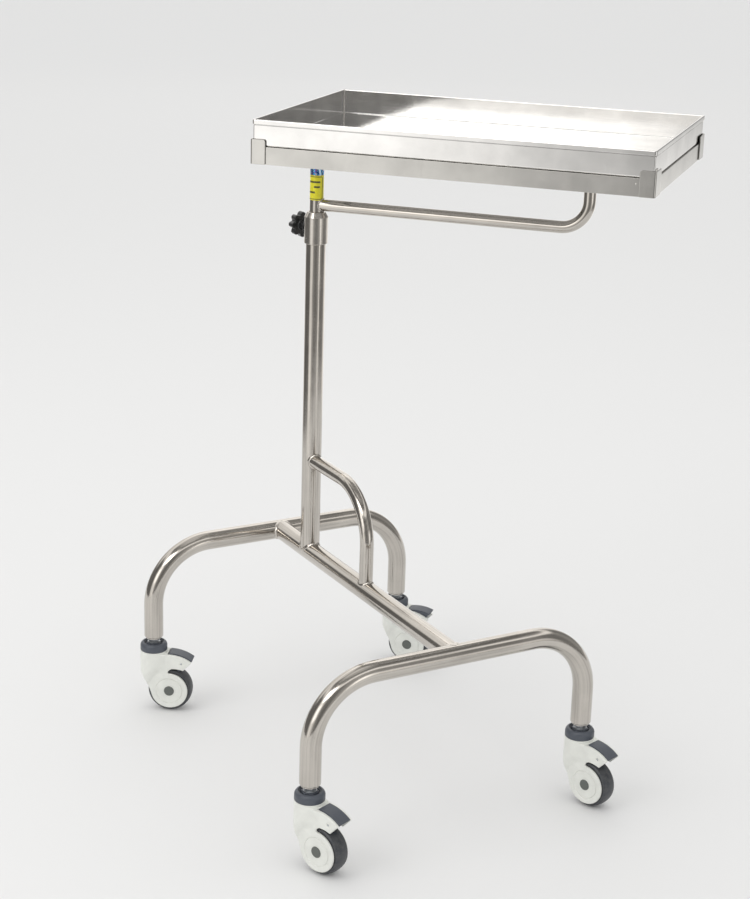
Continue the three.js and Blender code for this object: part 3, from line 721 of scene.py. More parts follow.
def weld_bead(branch_r, main_r, size, crown=0.35, ripples=46, seed=1):
    """A fillet weld round a branch, with the ripples of a hand-fed torch."""
    curve = weld_curve(branch_r, main_r)
    count = len(curve)
    wobble = [math.sin(seed * 1.7 + 2 * math.pi * 5 * k / count)
        + 0.6 * math.sin(seed + 2 * math.pi * 11 * k / count)
              for k in range(count)]
    rings = []
    for k, (here, branch_n, main_n) in enumerate(curve):
        tangent = (curve[(k + 1) % count][0] - curve[k - 1][0])
        tangent = tangent.normalized() if tangent.length > 1e-9 else Vector((0, 1, 0))
        up = branch_n.cross(tangent)
        up = up if up.z > 0 else -up
        out = main_n.cross(tangent)
        centre_line = Vector((0, 0, 1))
        if out.dot(branch_n) < 0 or (abs(out.dot(branch_n)) < 1e-6 and out.dot(centre_line) > 0):
            out = -out
        middle = (branch_n + main_n)
        middle = middle.normalized() if middle.length > 1e-6 else branch_n
        width = size * (1 + 0.07 * wobble[k])
        rise = crown * (1 + 0.45 * math.sin(2 * math.pi * ripples * k / count))
        ring = []
        for i in range(7):
            s = i / 6
            p = here + (up * (1 - s) + out * s) * width
            p = p + middle * rise * 4 * s * (1 - s)
            ring.append(p)
        ring[0] = Vector((ring[0].x, ring[0].y, ring[0].z)) - branch_n * 0.15
        ring[-1] = ring[-1] - main_n * 0.25
        ring.append(here - (branch_n + main_n) * 0.6)
        rings.append(ring)
    shape = loft(rings, closed_path=True)
    return fixed(shape)


def fixed(shape):
    """The same shape with all its faces turned outward."""
    mesh = bmesh.new()
    verts = [mesh.verts.new(p) for p in shape.points]
    for face in shape.faces:
        mesh.faces.new([verts[i] for i in face])
    bmesh.ops.recalc_face_normals(mesh, faces=mesh.faces)
    mesh.verts.index_update()
    faces = [tuple(v.index for v in f.verts) for f in mesh.faces]
    mesh.free()
    return Shape(shape.points, faces, shape.local)


def joint_frame(centre, branch, main):
    """Carries the weld's own frame (branch along +Z, main along X) to where two tubes meet."""
    z = Vector(branch).normalized()
    x = Vector(main).normalized()
    y = z.cross(x)
    turn = Matrix((x, y, z)).transposed().to_4x4()
    return Matrix.Translation(centre) @ turn


WELDS = []


def note_weld(name, place, centre, branch, main, branch_r, main_r, size, body, seed):
    """Keeps a weld for later and records its line, so that the tubes near it take its colour."""
    to_row = place @ joint_frame(centre, branch, main)
    line = [to_row @ p for p, _, _ in weld_curve(branch_r, main_r, 48)]
    WELD_CURVES.append(np.array([tuple(p) for p in line]))
    WELDS.append((name, to_row, branch_r, main_r, size, body, seed))


def note_plate_weld(name, place, centre, radius, size, body, seed):
    to_row = place @ Matrix.Translation(centre)
    angles = [2 * math.pi * k / 32 for k in range(32)]
    line = [to_row @ Vector((radius * math.cos(a), radius * math.sin(a), 0)) for a in angles]
    WELD_CURVES.append(np.array([tuple(p) for p in line]))
    WELDS.append((name, to_row, radius, None, size, body, seed))


def plate_bead(radius, size, seed, count=112, ripples=38):
    """A fillet weld round a tube that ends against the underside of a plate at z = 0."""
    rings = []
    for k in range(count):
        a = 2 * math.pi * k / count
        width = size * (1 + 0.08 * math.sin(seed + 6 * a))
        rise = 0.3 * (1 + 0.45 * math.sin(ripples * a))
        ring = []
        for i in range(6):
            s = i / 5
            r = radius - 0.15 + width * s + rise * 4 * s * (1 - s) * 0.7
            z = -width * (1 - s) - rise * 4 * s * (1 - s) * 0.7
            ring.append((r * math.cos(a), r * math.sin(a), z + 0.1 * s))
        ring.append(((radius - 0.8) * math.cos(a), (radius - 0.8) * math.sin(a), 0.2))
        rings.append(ring)
    return fixed(loft(rings, closed_path=True))


def note_all_welds():
    x, y, z = (1, 0, 0), (0, 1, 0), (0, 0, 1)
    note_weld("weld_spine_rear", BASE, (REAR_X, 0, ARCH_Z), x, y, FRAME_R, FRAME_R, 3.0, "base", 1)
    note_weld("weld_spine_front", BASE, (FRONT_X, 0, ARCH_Z), (-1, 0, 0), y, FRAME_R, FRAME_R, 3.0, "base", 2)
    note_weld("weld_column_foot", BASE, (0, 0, ARCH_Z), z, x, FRAME_R, FRAME_R, 3.0, "base", 3)
    note_weld("weld_brace_foot", BASE, (BRACE_X, 0, ARCH_Z), z, x, BRACE_R, FRAME_R, 2.6, "base", 4)
    note_weld("weld_brace_top", BASE, (0, 0, BRACE_Z), x, z, BRACE_R, FRAME_R, 2.6, "base", 5)
    note_weld("weld_arm", TRAY, (0, 0, ARM_Z), x, z, ARM_R, POST_R, 1.3, "tray_post", 6)
    note_plate_weld("weld_post_top", TRAY, (0, 0, BAR_TOP_Z - BAR_HEIGHT), POST_R, 2.2, "tray_post", 7)
    note_plate_weld("weld_arm_top", TRAY, (ARM_REACH, 0, BAR_TOP_Z - BAR_HEIGHT), ARM_R, 2.2, "tray_post", 8)


def build_welds():
    for name, to_row, branch_r, main_r, size, body, seed in WELDS:
        if main_r is None:
            shape = plate_bead(branch_r, size, seed)
        else:
            shape = weld_bead(branch_r, main_r, size, seed=seed)
        piece(name, shape, to_row, "turned_steel", body, crease=70)


# ---- base ----------------------------------------------------------------------------------
def build_arch(name, x):
    half = LEG_HALF_SPACING
    path = bent_path([(-half, LEG_END_Z), (-half, ARCH_Z), (half, ARCH_Z), (half, LEG_END_Z)], ARCH_BEND)
    place = BASE @ Matrix.Translation((x, 0, 0)) @ Matrix.Rotation(math.pi / 2, 4, "Z")
    piece(name, tube(path, FRAME_R), place, "tube_steel", "base", [name])


def build_base():
    build_arch("rear_arch_tube", REAR_X)
    build_arch("front_arch_tube", FRONT_X)
    spine = straight((REAR_X + 4, ARCH_Z), (FRONT_X - 4, ARCH_Z), FRAME_R)
    piece("spine_tube", spine, BASE, "tube_steel", "base", ["spine_tube"])
    column = combined(straight((0, ARCH_Z + 4), (0, COLUMN_TOP_Z), FRAME_R), [
        ("DIFFERENCE", upright(TUBE_BORE_R, ARCH_Z + 30, COLUMN_TOP_Z + 5)),
        ("DIFFERENCE", clamp_hole()),
    ])
    piece("column_tube", bevelled(column, 0.0), BASE, "tube_steel", "base", ["column_tube"])
    brace = tube(bent_path([(8, BRACE_Z), (BRACE_X, BRACE_Z), (BRACE_X, ARCH_Z + 8)], BRACE_BEND), BRACE_R)
    brace = combined(brace, [("DIFFERENCE", upright(TUBE_BORE_R + 0.5, BRACE_Z - 20, BRACE_Z + 20))])
    piece("column_brace", bevelled(brace, 0.0), BASE, "tube_steel", "base", ["column_brace"])


def upright(radius, low, high):
    return fixed(lathe([(0, low), (radius, low), (radius, high), (0, high)], 64, 0, closed=False))


def clamp_hole():
    """The room that the brass pad slides in, and the screw's own hole from there out."""
    bore = fixed(lathe([
        (0, 10), (CLAMP_HOLE_R, 10), (CLAMP_HOLE_R, 17.4),
        (SCREW_HOLE_R, 17.4), (SCREW_HOLE_R, 20), (0, 20),
    ], 48, 0, closed=False))
    return bore.moved(Matrix.Translation((0, 0, CLAMP_Z)) @ Matrix.Rotation(-math.pi / 2, 4, "Y"))


def build_collar():
    bore = POST_R + 0.8
    sleeve = FRAME_R + 0.2
    collar = lathe([
        (sleeve, COLLAR_BOTTOM_Z),
        (COLLAR_R, COLLAR_BOTTOM_Z),
        (COLLAR_R, COLLAR_TOP_Z - 8),
        (COLLAR_R - 4.4, COLLAR_TOP_Z),
        (bore, COLLAR_TOP_Z),
        (bore, COLUMN_TOP_Z + 0.3),
        (sleeve, COLUMN_TOP_Z + 0.3),
    ], 96, radius=0.7)
    collar = bevelled(combined(fixed(collar), [("DIFFERENCE", clamp_hole())]), 0.0)
    piece("column_collar", collar, BASE, "turned_steel", "base", ["column_collar"])
    seam = lathe([
        (FRAME_R - 0.1, COLLAR_BOTTOM_Z - 1.3),
        (FRAME_R + 0.35, COLLAR_BOTTOM_Z - 1.0),
        (COLLAR_R - 1.1, COLLAR_BOTTOM_Z - 0.1),
        (COLLAR_R - 1.2, COLLAR_BOTTOM_Z + 0.3),
        (FRAME_R - 0.1, COLLAR_BOTTOM_Z + 0.3),
    ], 96, radius=0.5)
    piece("collar_seam", seam, BASE, "turned_steel", "base")


def build_plugs():
    for name in CASTERS:
        top = LEG_END_Z - 0.05
        plug = lathe([
            (6.3, top - 2.6),
            (13.6, top - 2.6),
            (13.9, top),
            (6.3, top),
        ], 64, radius=0.9)
        piece(name + "_leg_plug", plug, caster_frame(name), "turned_steel", "base",
              [name + "_leg_plug"])


# ---- clamp ---------------------------------------------------------------------------------
def lobe_radius(a):
    wave = 0.5 + 0.5 * math.cos(a * KNOB_LOBES)
    return KNOB_R - 4.6 * (1 - wave) ** 1.6


def knob_ring(depth, inset=None, radius=None, count=KNOB_LOBES * 16):
    """A ring of the knob, depth back along -X from the column axis: lobed by inset, or round by radius."""
    ring = []
    for k in range(count):
        a = 2 * math.pi * k / count
        r = radius if radius is not None else lobe_radius(a) - inset
        ring.append((-depth, r * math.cos(a), r * math.sin(a)))
    return ring


def build_knob():
    face = KNOB_FACE
    back = KNOB_FACE + KNOB_THICK
    rings = [
        knob_ring(face - 14, radius=4.4),
        knob_ring(face - 14, radius=7.2),
        knob_ring(face - 13.6, radius=7.8),
        knob_ring(face - 13, radius=8.0),
        knob_ring(face - 3, radius=8.7),
        knob_ring(face - 1.2, radius=9.2),
        knob_ring(face - 0.3, radius=10.2),
        knob_ring(face, radius=11.4),
        knob_ring(face, inset=2.4),
    ]
    for k in range(1, 6):
        a = math.pi / 2 * k / 5
        rings.append(knob_ring(face + 2 - 2 * math.cos(a), inset=2.2 - 2.2 * math.sin(a)))
    for k in range(0, 6):
        a = math.pi / 2 * k / 5
        rings.append(knob_ring(back - 2.6 + 2.6 * math.sin(a), inset=2.6 - 2.6 * math.cos(a)))
    rings += [
        knob_ring(back, radius=10.6),
        knob_ring(back - 0.4, radius=10.0),
        knob_ring(back - 1.2, radius=9.4),
        knob_ring(back - 1.6, radius=8.4),
        knob_ring(back - 1.6, radius=1.0),
    ]
    knob = fixed(loft(rings))
    place = BASE @ Matrix.Translation((0, 0, CLAMP_Z))
    piece("clamp_knob", knob, place, "black_plastic", "clamp_knob", ["clamp_knob"],
        crease=40)


def build_screw():
    """An M8 screw: the thread is a true helix of 1.25 mm pitch."""
    pitch = 1.25
    crest = 4.0
    depth = 0.62
    per_turn = 8
    around = 40
    rings = []
    start = 14.2
    end = KNOB_FACE - 9
    count = int((end - start) / pitch * per_turn)
    for k in range(count + 1):
        x = start + (end - start) * k / count
        tip = min(1.0, (x - start) / 1.2)
        ring = []
        for s in range(around):
            a = 2 * math.pi * s / around
            phase = (x / pitch - s / around) % 1.0
            groove = 1 - abs(2 * phase - 1)
            r = crest * (0.78 + 0.22 * tip) - depth * max(0.0, min(1.0, 1.6 * groove - 0.3))
            ring.append((-x, r * math.cos(a), r * math.sin(a)))
        rings.append(ring)
    place = BASE @ Matrix.Translation((0, 0, CLAMP_Z))
    piece("clamp_screw", fixed(loft(rings)), place, "zinc_plate", "clamp_knob",
          ["clamp_screw"], crease=50)


# ---- post, arm and labels --------------------------------------------------------------------
def build_post():
    post = straight((0, POST_BOTTOM_Z), (0, POST_TOP_Z), POST_R)
    piece("post_tube", post, TRAY, "tube_steel", "tray_post", ["post_tube"])
    arm = tube(bent_path([(6, ARM_Z), (ARM_REACH, ARM_Z), (ARM_REACH, POST_TOP_Z)], ARM_BEND), ARM_R)
    piece("tray_arm", arm, TRAY, "arm_steel", "tray_post", ["tray_arm"])


def wrap(bottom, top, start, end, radius, thick, steps=48):
    """A thin film wrapped round the post between two heights and two angles in degrees."""
    rings = []
    local = []
    middle_z = (bottom + top) / 2
    for k in range(steps + 1):
        angle = start + (end - start) * k / steps
        a = math.radians(angle)
        along = radius * math.radians(angle - (start + end) / 2)
        ring = []
        for r, z in ((radius, bottom), (radius + thick, bottom), (radius + thick, top), (radius, top)):
            ring.append((r * math.cos(a), r * math.sin(a), z))
            local.append((along, z - middle_z, r - radius))
        rings.append(ring)
    shape = loft(rings)
    shape.local = local
    return fixed(shape)


def build_labels():
    half_turn = math.degrees(LABEL_HALF_WIDTH / POST_R)
    middle = LABEL_EDGE - half_turn
    label = wrap(LABEL_BOTTOM_Z, LABEL_TOP_Z, middle - half_turn, middle + half_turn, POST_R + 0.02, FILM)
    piece("label_plain", label, BASE, "label", "tray_post", crease=40)
    film = wrap(LABEL_TOP_Z + 0.5, FOIL_TOP_Z, middle - half_turn, middle + half_turn, POST_R + 0.02, FILM)
    piece("foil_band", film, BASE, "foil", "tray_post", crease=40)


LABEL_EDGE = 47.0


# ---- tray ------------------------------------------------------------------------------------
def plan_ring(inset, corner, z, corner_steps=8, side_steps=24):
    """A rounded rectangle of the tray's plan, inset from its outline, with the same count every time."""
    x0 = TRAY_START + inset
    x1 = TRAY_START + TRAY_LENGTH - inset
    y0 = -TRAY_SIDE + inset
    y1 = TRAY_SIDE - inset
    corner = max(corner, 0.05)
    centres = [
        (x1 - corner, y0 + corner, -90),
        (x1 - corner, y1 - corner, 0),
        (x0 + corner, y1 - corner, 90),
        (x0 + corner, y0 + corner, 180),
    ]
    ring = []
    for i, (cx, cy, start) in enumerate(centres):
        bend = arc(cx, cy, corner, start, start + 90, corner_steps)
        ring += bend
        nx, ny, following = centres[(i + 1) % 4]
        first = arc(nx, ny, corner, following, following, 1)[0]
        last = bend[-1]
        for k in range(1, side_steps):
            t = k / side_steps
            ring.append((last[0] + (first[0] - last[0]) * t, last[1] + (first[1] - last[1]) * t))
    return [(x, y, z) for x, y in ring]


def build_pan():
    """Deep-folded pan. Its rim is hemmed: the sheet turns outward and down, and ends in an open fold."""
    outer_r = 3.5
    wall = HEM_OUT
    inner = HEM_OUT + SHEET
    profile = []
    for r in (160, 120, 80, 50, 30, 18):
        profile.append((r, PAN_BOTTOM_Z))
    for x, z in arc(wall + 3, PAN_BOTTOM_Z + 3, 3, 270, 180, 5):
        profile.append((x, z))
    hem = RIM_Z - HEM_HEIGHT
    profile.append((wall, hem - 2))
    profile.append((wall, hem - 1.7))
    profile.append((wall + 1.1, hem - 1.4))
    profile.append((wall + 1.1, hem + 0.5))
    for x, z in arc(0.6, hem + 0.6, 0.6, 300, 180, 4):
        profile.append((x, z))
    fold = inner / 2
    for x, z in arc(fold, RIM_Z - fold, fold, 180, 0, 10):
        profile.append((x, z))
    profile.append((inner, RIM_Z - 8))
    profile.append((inner, PAN_BOTTOM_Z + SHEET + 12))
    profile.append((inner, PAN_BOTTOM_Z + SHEET + FOLD_R + 0.3))
    for x, z in arc(inner + FOLD_R, PAN_BOTTOM_Z + SHEET + FOLD_R, FOLD_R, 180, 270, 6):
        profile.append((x, z))
    for r in (inner + FOLD_R + 0.3, 14, 18, 30, 50, 80, 120, 160):
        profile.append((r, PAN_BOTTOM_Z + SHEET))
    rings = [plan_ring(inset, outer_r - min(inset, 3.2), z) for inset, z in profile]
    shape = loft(rings, caps=False)
    size = len(rings[0])
    bottom_face = list(range(size))
    last = (len(rings) - 1) * size
    top_face = list(range(last, last + size))
    shape.faces.append(tuple(reversed(bottom_face)))
    shape.faces.append(tuple(top_face))
    pan = piece("tray_pan", fixed(shape), TRAY, "tray_steel", "tray", ["tray_pan"], crease=40)
    points = np.array(shape.points)
    edge_x = np.minimum(points[:, 0] - TRAY_START, TRAY_START + TRAY_LENGTH - points[:, 0])
    edge = np.minimum(edge_x, TRAY_SIDE - np.abs(points[:, 1]))
    height = points[:, 2] - PAN_BOTTOM_Z - SHEET
    # Darker along the floor fold.
    fold = (height > 0.05) & (height < FOLD_R - 0.05) & (edge > inner + 0.02)
    # A painted shadow line along the hem's lower lip.
    hem_shadow_line = (np.abs(points[:, 2] - hem + 0.5) < 1.1) & (edge > wall + 0.5) & (edge < inner - 0.2)
    # The "seam" attribute marks painted shade, a painted shadow line and the floor fold; it is no weld seam.
    seam = pan.data.attributes.new("seam", "FLOAT", "POINT")
    # Painted shade under the pan, together with the rougher unpolished finish of its underside.
    under = np.abs(points[:, 2] - PAN_BOTTOM_Z) < 0.01
    seam.data.foreach_set("value", (0.4 * fold + 0.7 * hem_shadow_line + 0.9 * under).astype(np.float32))
    for x in (TRAY_START + inner, TRAY_START + TRAY_LENGTH - inner):
        for y in (-TRAY_SIDE + inner, TRAY_SIDE - inner):
            build_corner_seam(x, y)


def build_corner_seam(x, y):
    """The ground-down weld up one inner corner of the pan."""
    low = PAN_BOTTOM_Z + SHEET + 0.2
    high = RIM_Z - 1.6
    section = [(0, low)]
    for k in range(40):
        z = low + (high - low) * k / 39
        section.append((0.85 + 0.09 * math.sin(2.1 * k) + 0.05 * math.sin(5.3 * k), z))
    section.append((0, high))
    bead = lathe(section, 16, 0, closed=False).moved(Matrix.Translation((x, y, 0)))
    end = "near" if x < 200 else "far"
    side = "left" if y < 0 else "right"
    piece(f"pan_seam_{end}_{side}", fixed(bead), TRAY, "seam_steel", "tray", crease=80)


def rail_section():
    return softened([
        (0, RAIL_BOTTOM_Z),
        (1.5, RAIL_BOTTOM_Z),
        (1.5, RAIL_TOP_Z - 1.5),
        (RAIL_FLANGE, RAIL_TOP_Z - 1.5),
        (RAIL_FLANGE, RAIL_TOP_Z),
        (0, RAIL_TOP_Z),
    ], 0.5, steps=2)


def rail(length, count=40):
    """A folded angle along X from 0 to length, its web on Y = 0 and its flange reaching to +Y."""
    rings = []
    for k in range(count + 1):
        x = length * k / count
        rings.append([(x, y, z) for y, z in rail_section()])
    return fixed(loft(rings))


def build_rails():
    to_start = Matrix.Translation((TRAY_START, -TRAY_SIDE, 0))
    middle = Matrix.Translation((TRAY_START + TRAY_LENGTH / 2, 0, 0))
    turn = Matrix.Rotation(math.pi, 4, "Z")
    for side, spin in (("left", Matrix.Identity(4)), ("right", turn)):
        name = "frame_rail_" + side
        place = TRAY @ middle @ spin @ middle.inverted() @ to_start
        piece(name, rail(TRAY_LENGTH), place, "frame_steel", "tray_post", [name], crease=40)
    inset = 1.8
    for end, spin in (("near", Matrix.Identity(4)), ("far", turn)):
        name = "frame_rail_" + end
        length = 2 * (TRAY_SIDE - inset)
        stand = Matrix.Translation((TRAY_START, TRAY_SIDE - inset, 0)) @ Matrix.Rotation(-math.pi / 2, 4, "Z")
        place = TRAY @ middle @ spin @ middle.inverted() @ stand
        piece(name, rail(length, 28), place, "frame_steel", "tray_post", [name], crease=40)


def bracket_stations(leg, end_leg):
    """From the tip of one leg to the other: plan point, outward normal, distance to the tip."""
    steps = (0.0, 0.15, 0.5, 1.0, 1.6, 2.2, 3.0, 4.0, 7.0, 11.0, 15.0)
    centre = BRACKET_CORNER - BRACKET_OUT
    stations = [(leg - at, centre, 0, -1, at) for at in steps]
    for k in range(11):
        a = math.radians(270 - 9 * k)
        stations.append((centre, centre, math.cos(a), math.sin(a), 20))
    stations += [(centre, end_leg - at, -1, 0, at) for at in (22.0, *reversed(steps))]
    return stations


def bracket_shape(leg, end_leg):
    """A strip folded round the corner of the rails, with rounded outer corners on both legs."""
    inner = BRACKET_CORNER - BRACKET_THICK
    rings = []
    for x, y, nx, ny, at in bracket_stations(leg, end_leg):
        tip = 0.4 * max(0.0, 1 - at / 0.5) ** 2
        high = BRACKET_TOP_Z - 4 + math.sqrt(max(16 - max(0.0, 4 - at) ** 2, 0)) - 0.02
        low = RAIL_BOTTOM_Z + 2 - math.sqrt(max(4 - max(0.0, 2 - at) ** 2, 0))
        ring = []
        for offset, z in (
            (inner + tip, low + 0.4), (inner + 0.4, low), (BRACKET_CORNER - 0.4, low),
            (BRACKET_CORNER - tip, low + 0.4), (BRACKET_CORNER - tip, high - 0.4),
            (BRACKET_CORNER - 0.4, high), (inner + 0.4, high), (inner + tip, high - 0.4),
        ):
            ring.append((x + nx * offset, y + ny * offset, z))
        rings.append(ring)
    return fixed(loft(rings))


def dome(radius, height, x, z, y):
    """A low round spot on a leg, facing -Y."""
    rows = 6
    section = [(0, height)]
    for k in range(1, rows + 1):
        a = math.pi / 2 * k / rows
        section.append((radius * math.sin(a), height * math.cos(a)))
    section = section[::-1] + []
    spot = lathe([(0, -0.4), (radius, -0.4)] + section[0:], 28, radius=0.0, closed=False)
    return fixed(spot).moved(Matrix.Translation((x, y, z)) @ Matrix.Rotation(math.pi / 2, 4, "X"))


def build_bracket(name, end, side):
    """The bracket at the start of the tray on its -Y side, mirrored to its own corner."""
    shape = Shape().add(bracket_shape(BRACKET_LEG, BRACKET_END_LEG))
    if name.endswith("far_left"):
        shape.add(dome(1.5, 0.9, BRACKET_LEG + 4.5, 981.5, 0.05))
    flip = Matrix.Diagonal((-end, -side, 1, 1))
    corner_x = TRAY_START if end < 0 else TRAY_START + TRAY_LENGTH
    mirrored = shape.moved(Matrix.Translation((corner_x, side * TRAY_SIDE, 0)) @ flip)
    if end * side < 0:
        mirrored = mirrored.turned_over()
    mirrored.local = list(mirrored.points)
    piece(name, mirrored, TRAY, "frame_steel", "tray_post", [name], crease=40)


def build_brackets():
    for end, end_name in ((-1, "near"), (1, "far")):
        for side, side_name in ((-1, "left"), (1, "right")):
            build_bracket(f"corner_bracket_{end_name}_{side_name}", end, side)


def bar_ring(y, grow):
    """A rounded rectangle across the tray at this Y: grow 0 is the outside, and below 0 the inside."""
    half = BAR_WIDTH / 2 + grow
    low = BAR_TOP_Z - BAR_HEIGHT - grow
    high = BAR_TOP_Z + grow
    corner = max(2.0 + grow, 0.5)
    ring = []
    for cx, cz, start in (
        (half - corner, low + corner, -90),
        (half - corner, high - corner, 0),
        (-half + corner, high - corner, 90),
        (-half + corner, low + corner, 180),
    ):
        ring += arc(cx, cz, corner, start, start + 90, 5)
    return [(x, y, z) for x, z in ring]


def build_cross_bars():
    half = TRAY_SIDE - 1.8
    for name, at in (("cross_bar_post", 0.0), ("cross_bar_arm", float(ARM_REACH))):
        rings = [bar_ring(-half + 2 * half * k / 60, 0) for k in range(61)]
        rings += [bar_ring(half - 2 * half * k / 10, -1.5) for k in range(11)]
        shape = fixed(loft(rings, closed_path=True))
        place = TRAY @ Matrix.Translation((at, 0, 0))
        piece(name, shape, place, "frame_steel", "tray_post", [name], crease=40)


# ---- casters, swivel axis on Z and wheel towards +X --------------------------------------------
def from_wheel(radius, degrees):
    a = math.radians(degrees)
    return (TRAIL + radius * math.cos(a), WHEEL_R + radius * math.sin(a))


def plain_prism(outline, half):
    return smoothed_prism(outline, half, 0.0)


def disc_y(radius, half, x, z, segments=96):
    return along_y(lathe([(0, -half), (radius, -half), (radius, half), (0, half)], segments, 0,
        closed=False), x, z)


def side_outline():
    """The fork seen from the side, anticlockwise in X-Z, starting at the tip of the hood."""
    outline = arc(TRAIL, WHEEL_R, HOOD_R, 54.4, 95.0, 28)
    outline += [(20.0, 103.6), (12, 104), (4, 104), (-4, 104), (-12, 104), (-18, 104), (-HOUSING_R, 104)]
    outline += [(-HOUSING_R, 104 - 3.0 * k) for k in range(1, 10)]
    outline += [(-22.6, 73.5), (-21.4, 70.0), (-19.4, 66.6), (-16.8, 63.0), (-14.0, 59.0)]
    outline += [(-11.4, 54.6), (-9.0, 50.0), (-6.6, 44.6), (-4.6, 39.4), (-3.0, 34.4)]
    outline += arc(TRAIL, WHEEL_R, CHEEK_R, 189, 450, 100)
    outline += [from_wheel(32.0, 92.6), from_wheel(33.0, 93.4), from_wheel(34.4, 93.4),
        from_wheel(35.8, 92.0)]
    outline += [from_wheel(37.6, 89.5), from_wheel(40.3, 84.0), from_wheel(41.4, 77.0),
        from_wheel(42.6, 70.5)]
    outline += [from_wheel(44.0, 63.5), from_wheel(44.9, 57.6)]
    return outline


def evenly(outline, longest):
    """The closed outline with its long sides divided."""
    result = []
    for here, there in zip(outline, outline[1:] + outline[:1]):
        here, there = Vector(here), Vector(there)
        count = max(1, math.ceil((there - here).length / longest))
        result += [tuple(here.lerp(there, k / count)) for k in range(count)]
    return result


def distance_to(outline, points):
    """How far each point is from the closed outline."""
    a = np.array(outline)
    b = np.roll(a, -1, axis=0)
    along = b - a
    length = (along ** 2).sum(axis=1)
    near = np.full(len(points), 1e9)
    for start, step, size in zip(a, along, length):
        t = np.clip(((points - start) @ step) / size, 0, 1)
        gap = np.linalg.norm(points - start - t[:, None] * step, axis=1)
        near = np.minimum(near, gap)
    return near


def inside(outline, points):
    a = np.array(outline)
    b = np.roll(a, -1, axis=0)
    result = np.zeros(len(points), bool)
    for (x0, z0), (x1, z1) in zip(a, b):
        if z0 == z1:
            continue
        crosses = (points[:, 1] < z0) != (points[:, 1] < z1)
        at = x0 + (points[:, 1] - z0) * (x1 - x0) / (z1 - z0)
        result ^= crosses & (points[:, 0] < at)
    return result


def half_width(points, edge_gap):
    """Half the fork's width at each (x, z): a round neck that flows into flat cheeks, with eased edges."""
    x, z = points[:, 0], points[:, 1]
    r = np.hypot(x - TRAIL, z - WHEEL_R)
    circle = np.sqrt(np.maximum(HOUSING_R ** 2 - x ** 2, 0))
    tangent_x = 7.0
    tangent_y = math.sqrt(HOUSING_R ** 2 - tangent_x ** 2)
    taper = tangent_y - (x - tangent_x) * tangent_x / tangent_y
    plan = np.where(x < tangent_x, circle, taper)
    bulge = np.maximum(plan - CHEEK_OUT, 0)
    bulge = 0.5 * (bulge + np.sqrt(bulge ** 2 + 0.25)) - 0.25
    rise = np.clip((r - 36.6) / 13, 0, 1)
    rise = rise * (1.6 - 0.6 * rise)
    width = np.minimum(plan, CHEEK_OUT) + bulge * rise
    width = np.where((x > tangent_x) & (plan < CHEEK_OUT), CHEEK_OUT, width)
    ring = np.clip(1 - np.abs((r - 22.3) / 0.7) ** 2, 0, 1)
    width = width - 0.95 * ring
    pin = np.hypot(x - STOP_PIN[0], z - STOP_PIN[1])
    width = width - 0.8 * np.clip(1 - np.abs((pin - 2.7) / 0.75) ** 2, 0, 1)
    ease = 1.3
    inner = np.clip(1 - edge_gap / ease, 0, 1)
    drop = ease * (1 - np.sqrt(np.maximum(1 - inner ** 2, 0)))
    drop = np.where((x < -12) & (z > 66), 0, drop)
    return np.maximum(width - drop, 0)


def fork_points(outline):
    """Points inside the outline, close together wherever the surface turns."""
    found = []
    grid = np.arange(-24, 70, 2.3)
    found += [(x, z) for x in grid for z in np.arange(4, 106, 2.3)]
    for r in (7.6, 12, 16, 19.5, 21.1, 21.6, 21.95, 22.3, 22.65, 23.0, 23.5,
              25, 27.5, 29.4, 36.2, 36.9, 38, 40, 43, 46, 50):
        count = int(max(24, 2 * math.pi * r / (2.0 if r < 36 else 2.6)))
        found += [from_wheel(r, 360 * k / count) for k in range(count)]
    for r in (1.2, 2.0, 2.35, 2.7, 3.05, 3.4, 4.2):
        found += [(
            STOP_PIN[0] + r * math.cos(math.radians(22.5 * k)),
            STOP_PIN[1] + r * math.sin(math.radians(22.5 * k)),
        ) for k in range(16)]
    for k in range(1, 15):
        x = -HOUSING_R * math.cos(math.radians(6.2 * k))
        found += [(x, z) for z in np.arange(60, 104, 2.6)]
    edge = np.array(outline)
    ahead = np.roll(edge, -1, axis=0) - np.roll(edge, 1, axis=0)
    ahead /= np.linalg.norm(ahead, axis=1)[:, None]
    inward = np.stack([-ahead[:, 1], ahead[:, 0]], axis=1)
    rims = []
    for gap in (0.1, 0.38, 0.8, 1.3):
        rim = edge + inward * gap
        keep = np.abs(distance_to(outline, rim) - gap) < 0.06 * gap + 0.01
        rims.append(rim[keep & inside(outline, rim)])
    points = np.array(found)
    points = points[inside(outline, points)]
    points = points[distance_to(outline, points) > 1.7]
    points = thinned(points, 0.42)
    return np.concatenate([points] + rims)


def thinned(points, apart):
    """The points in order, without those closer than this to one already kept."""
    cells = {}
    kept = []
    for x, z in points:
        key = (int(x // apart), int(z // apart))
        around = [cells.get((key[0] + i, key[1] + j)) for i in (-1, 0, 1) for j in (-1, 0, 1)]
        if any(p is not None and math.hypot(p[0] - x, p[1] - z) < apart for p in around):
            continue
        cells[key] = (x, z)
        kept.append((x, z))
    return np.array(kept)


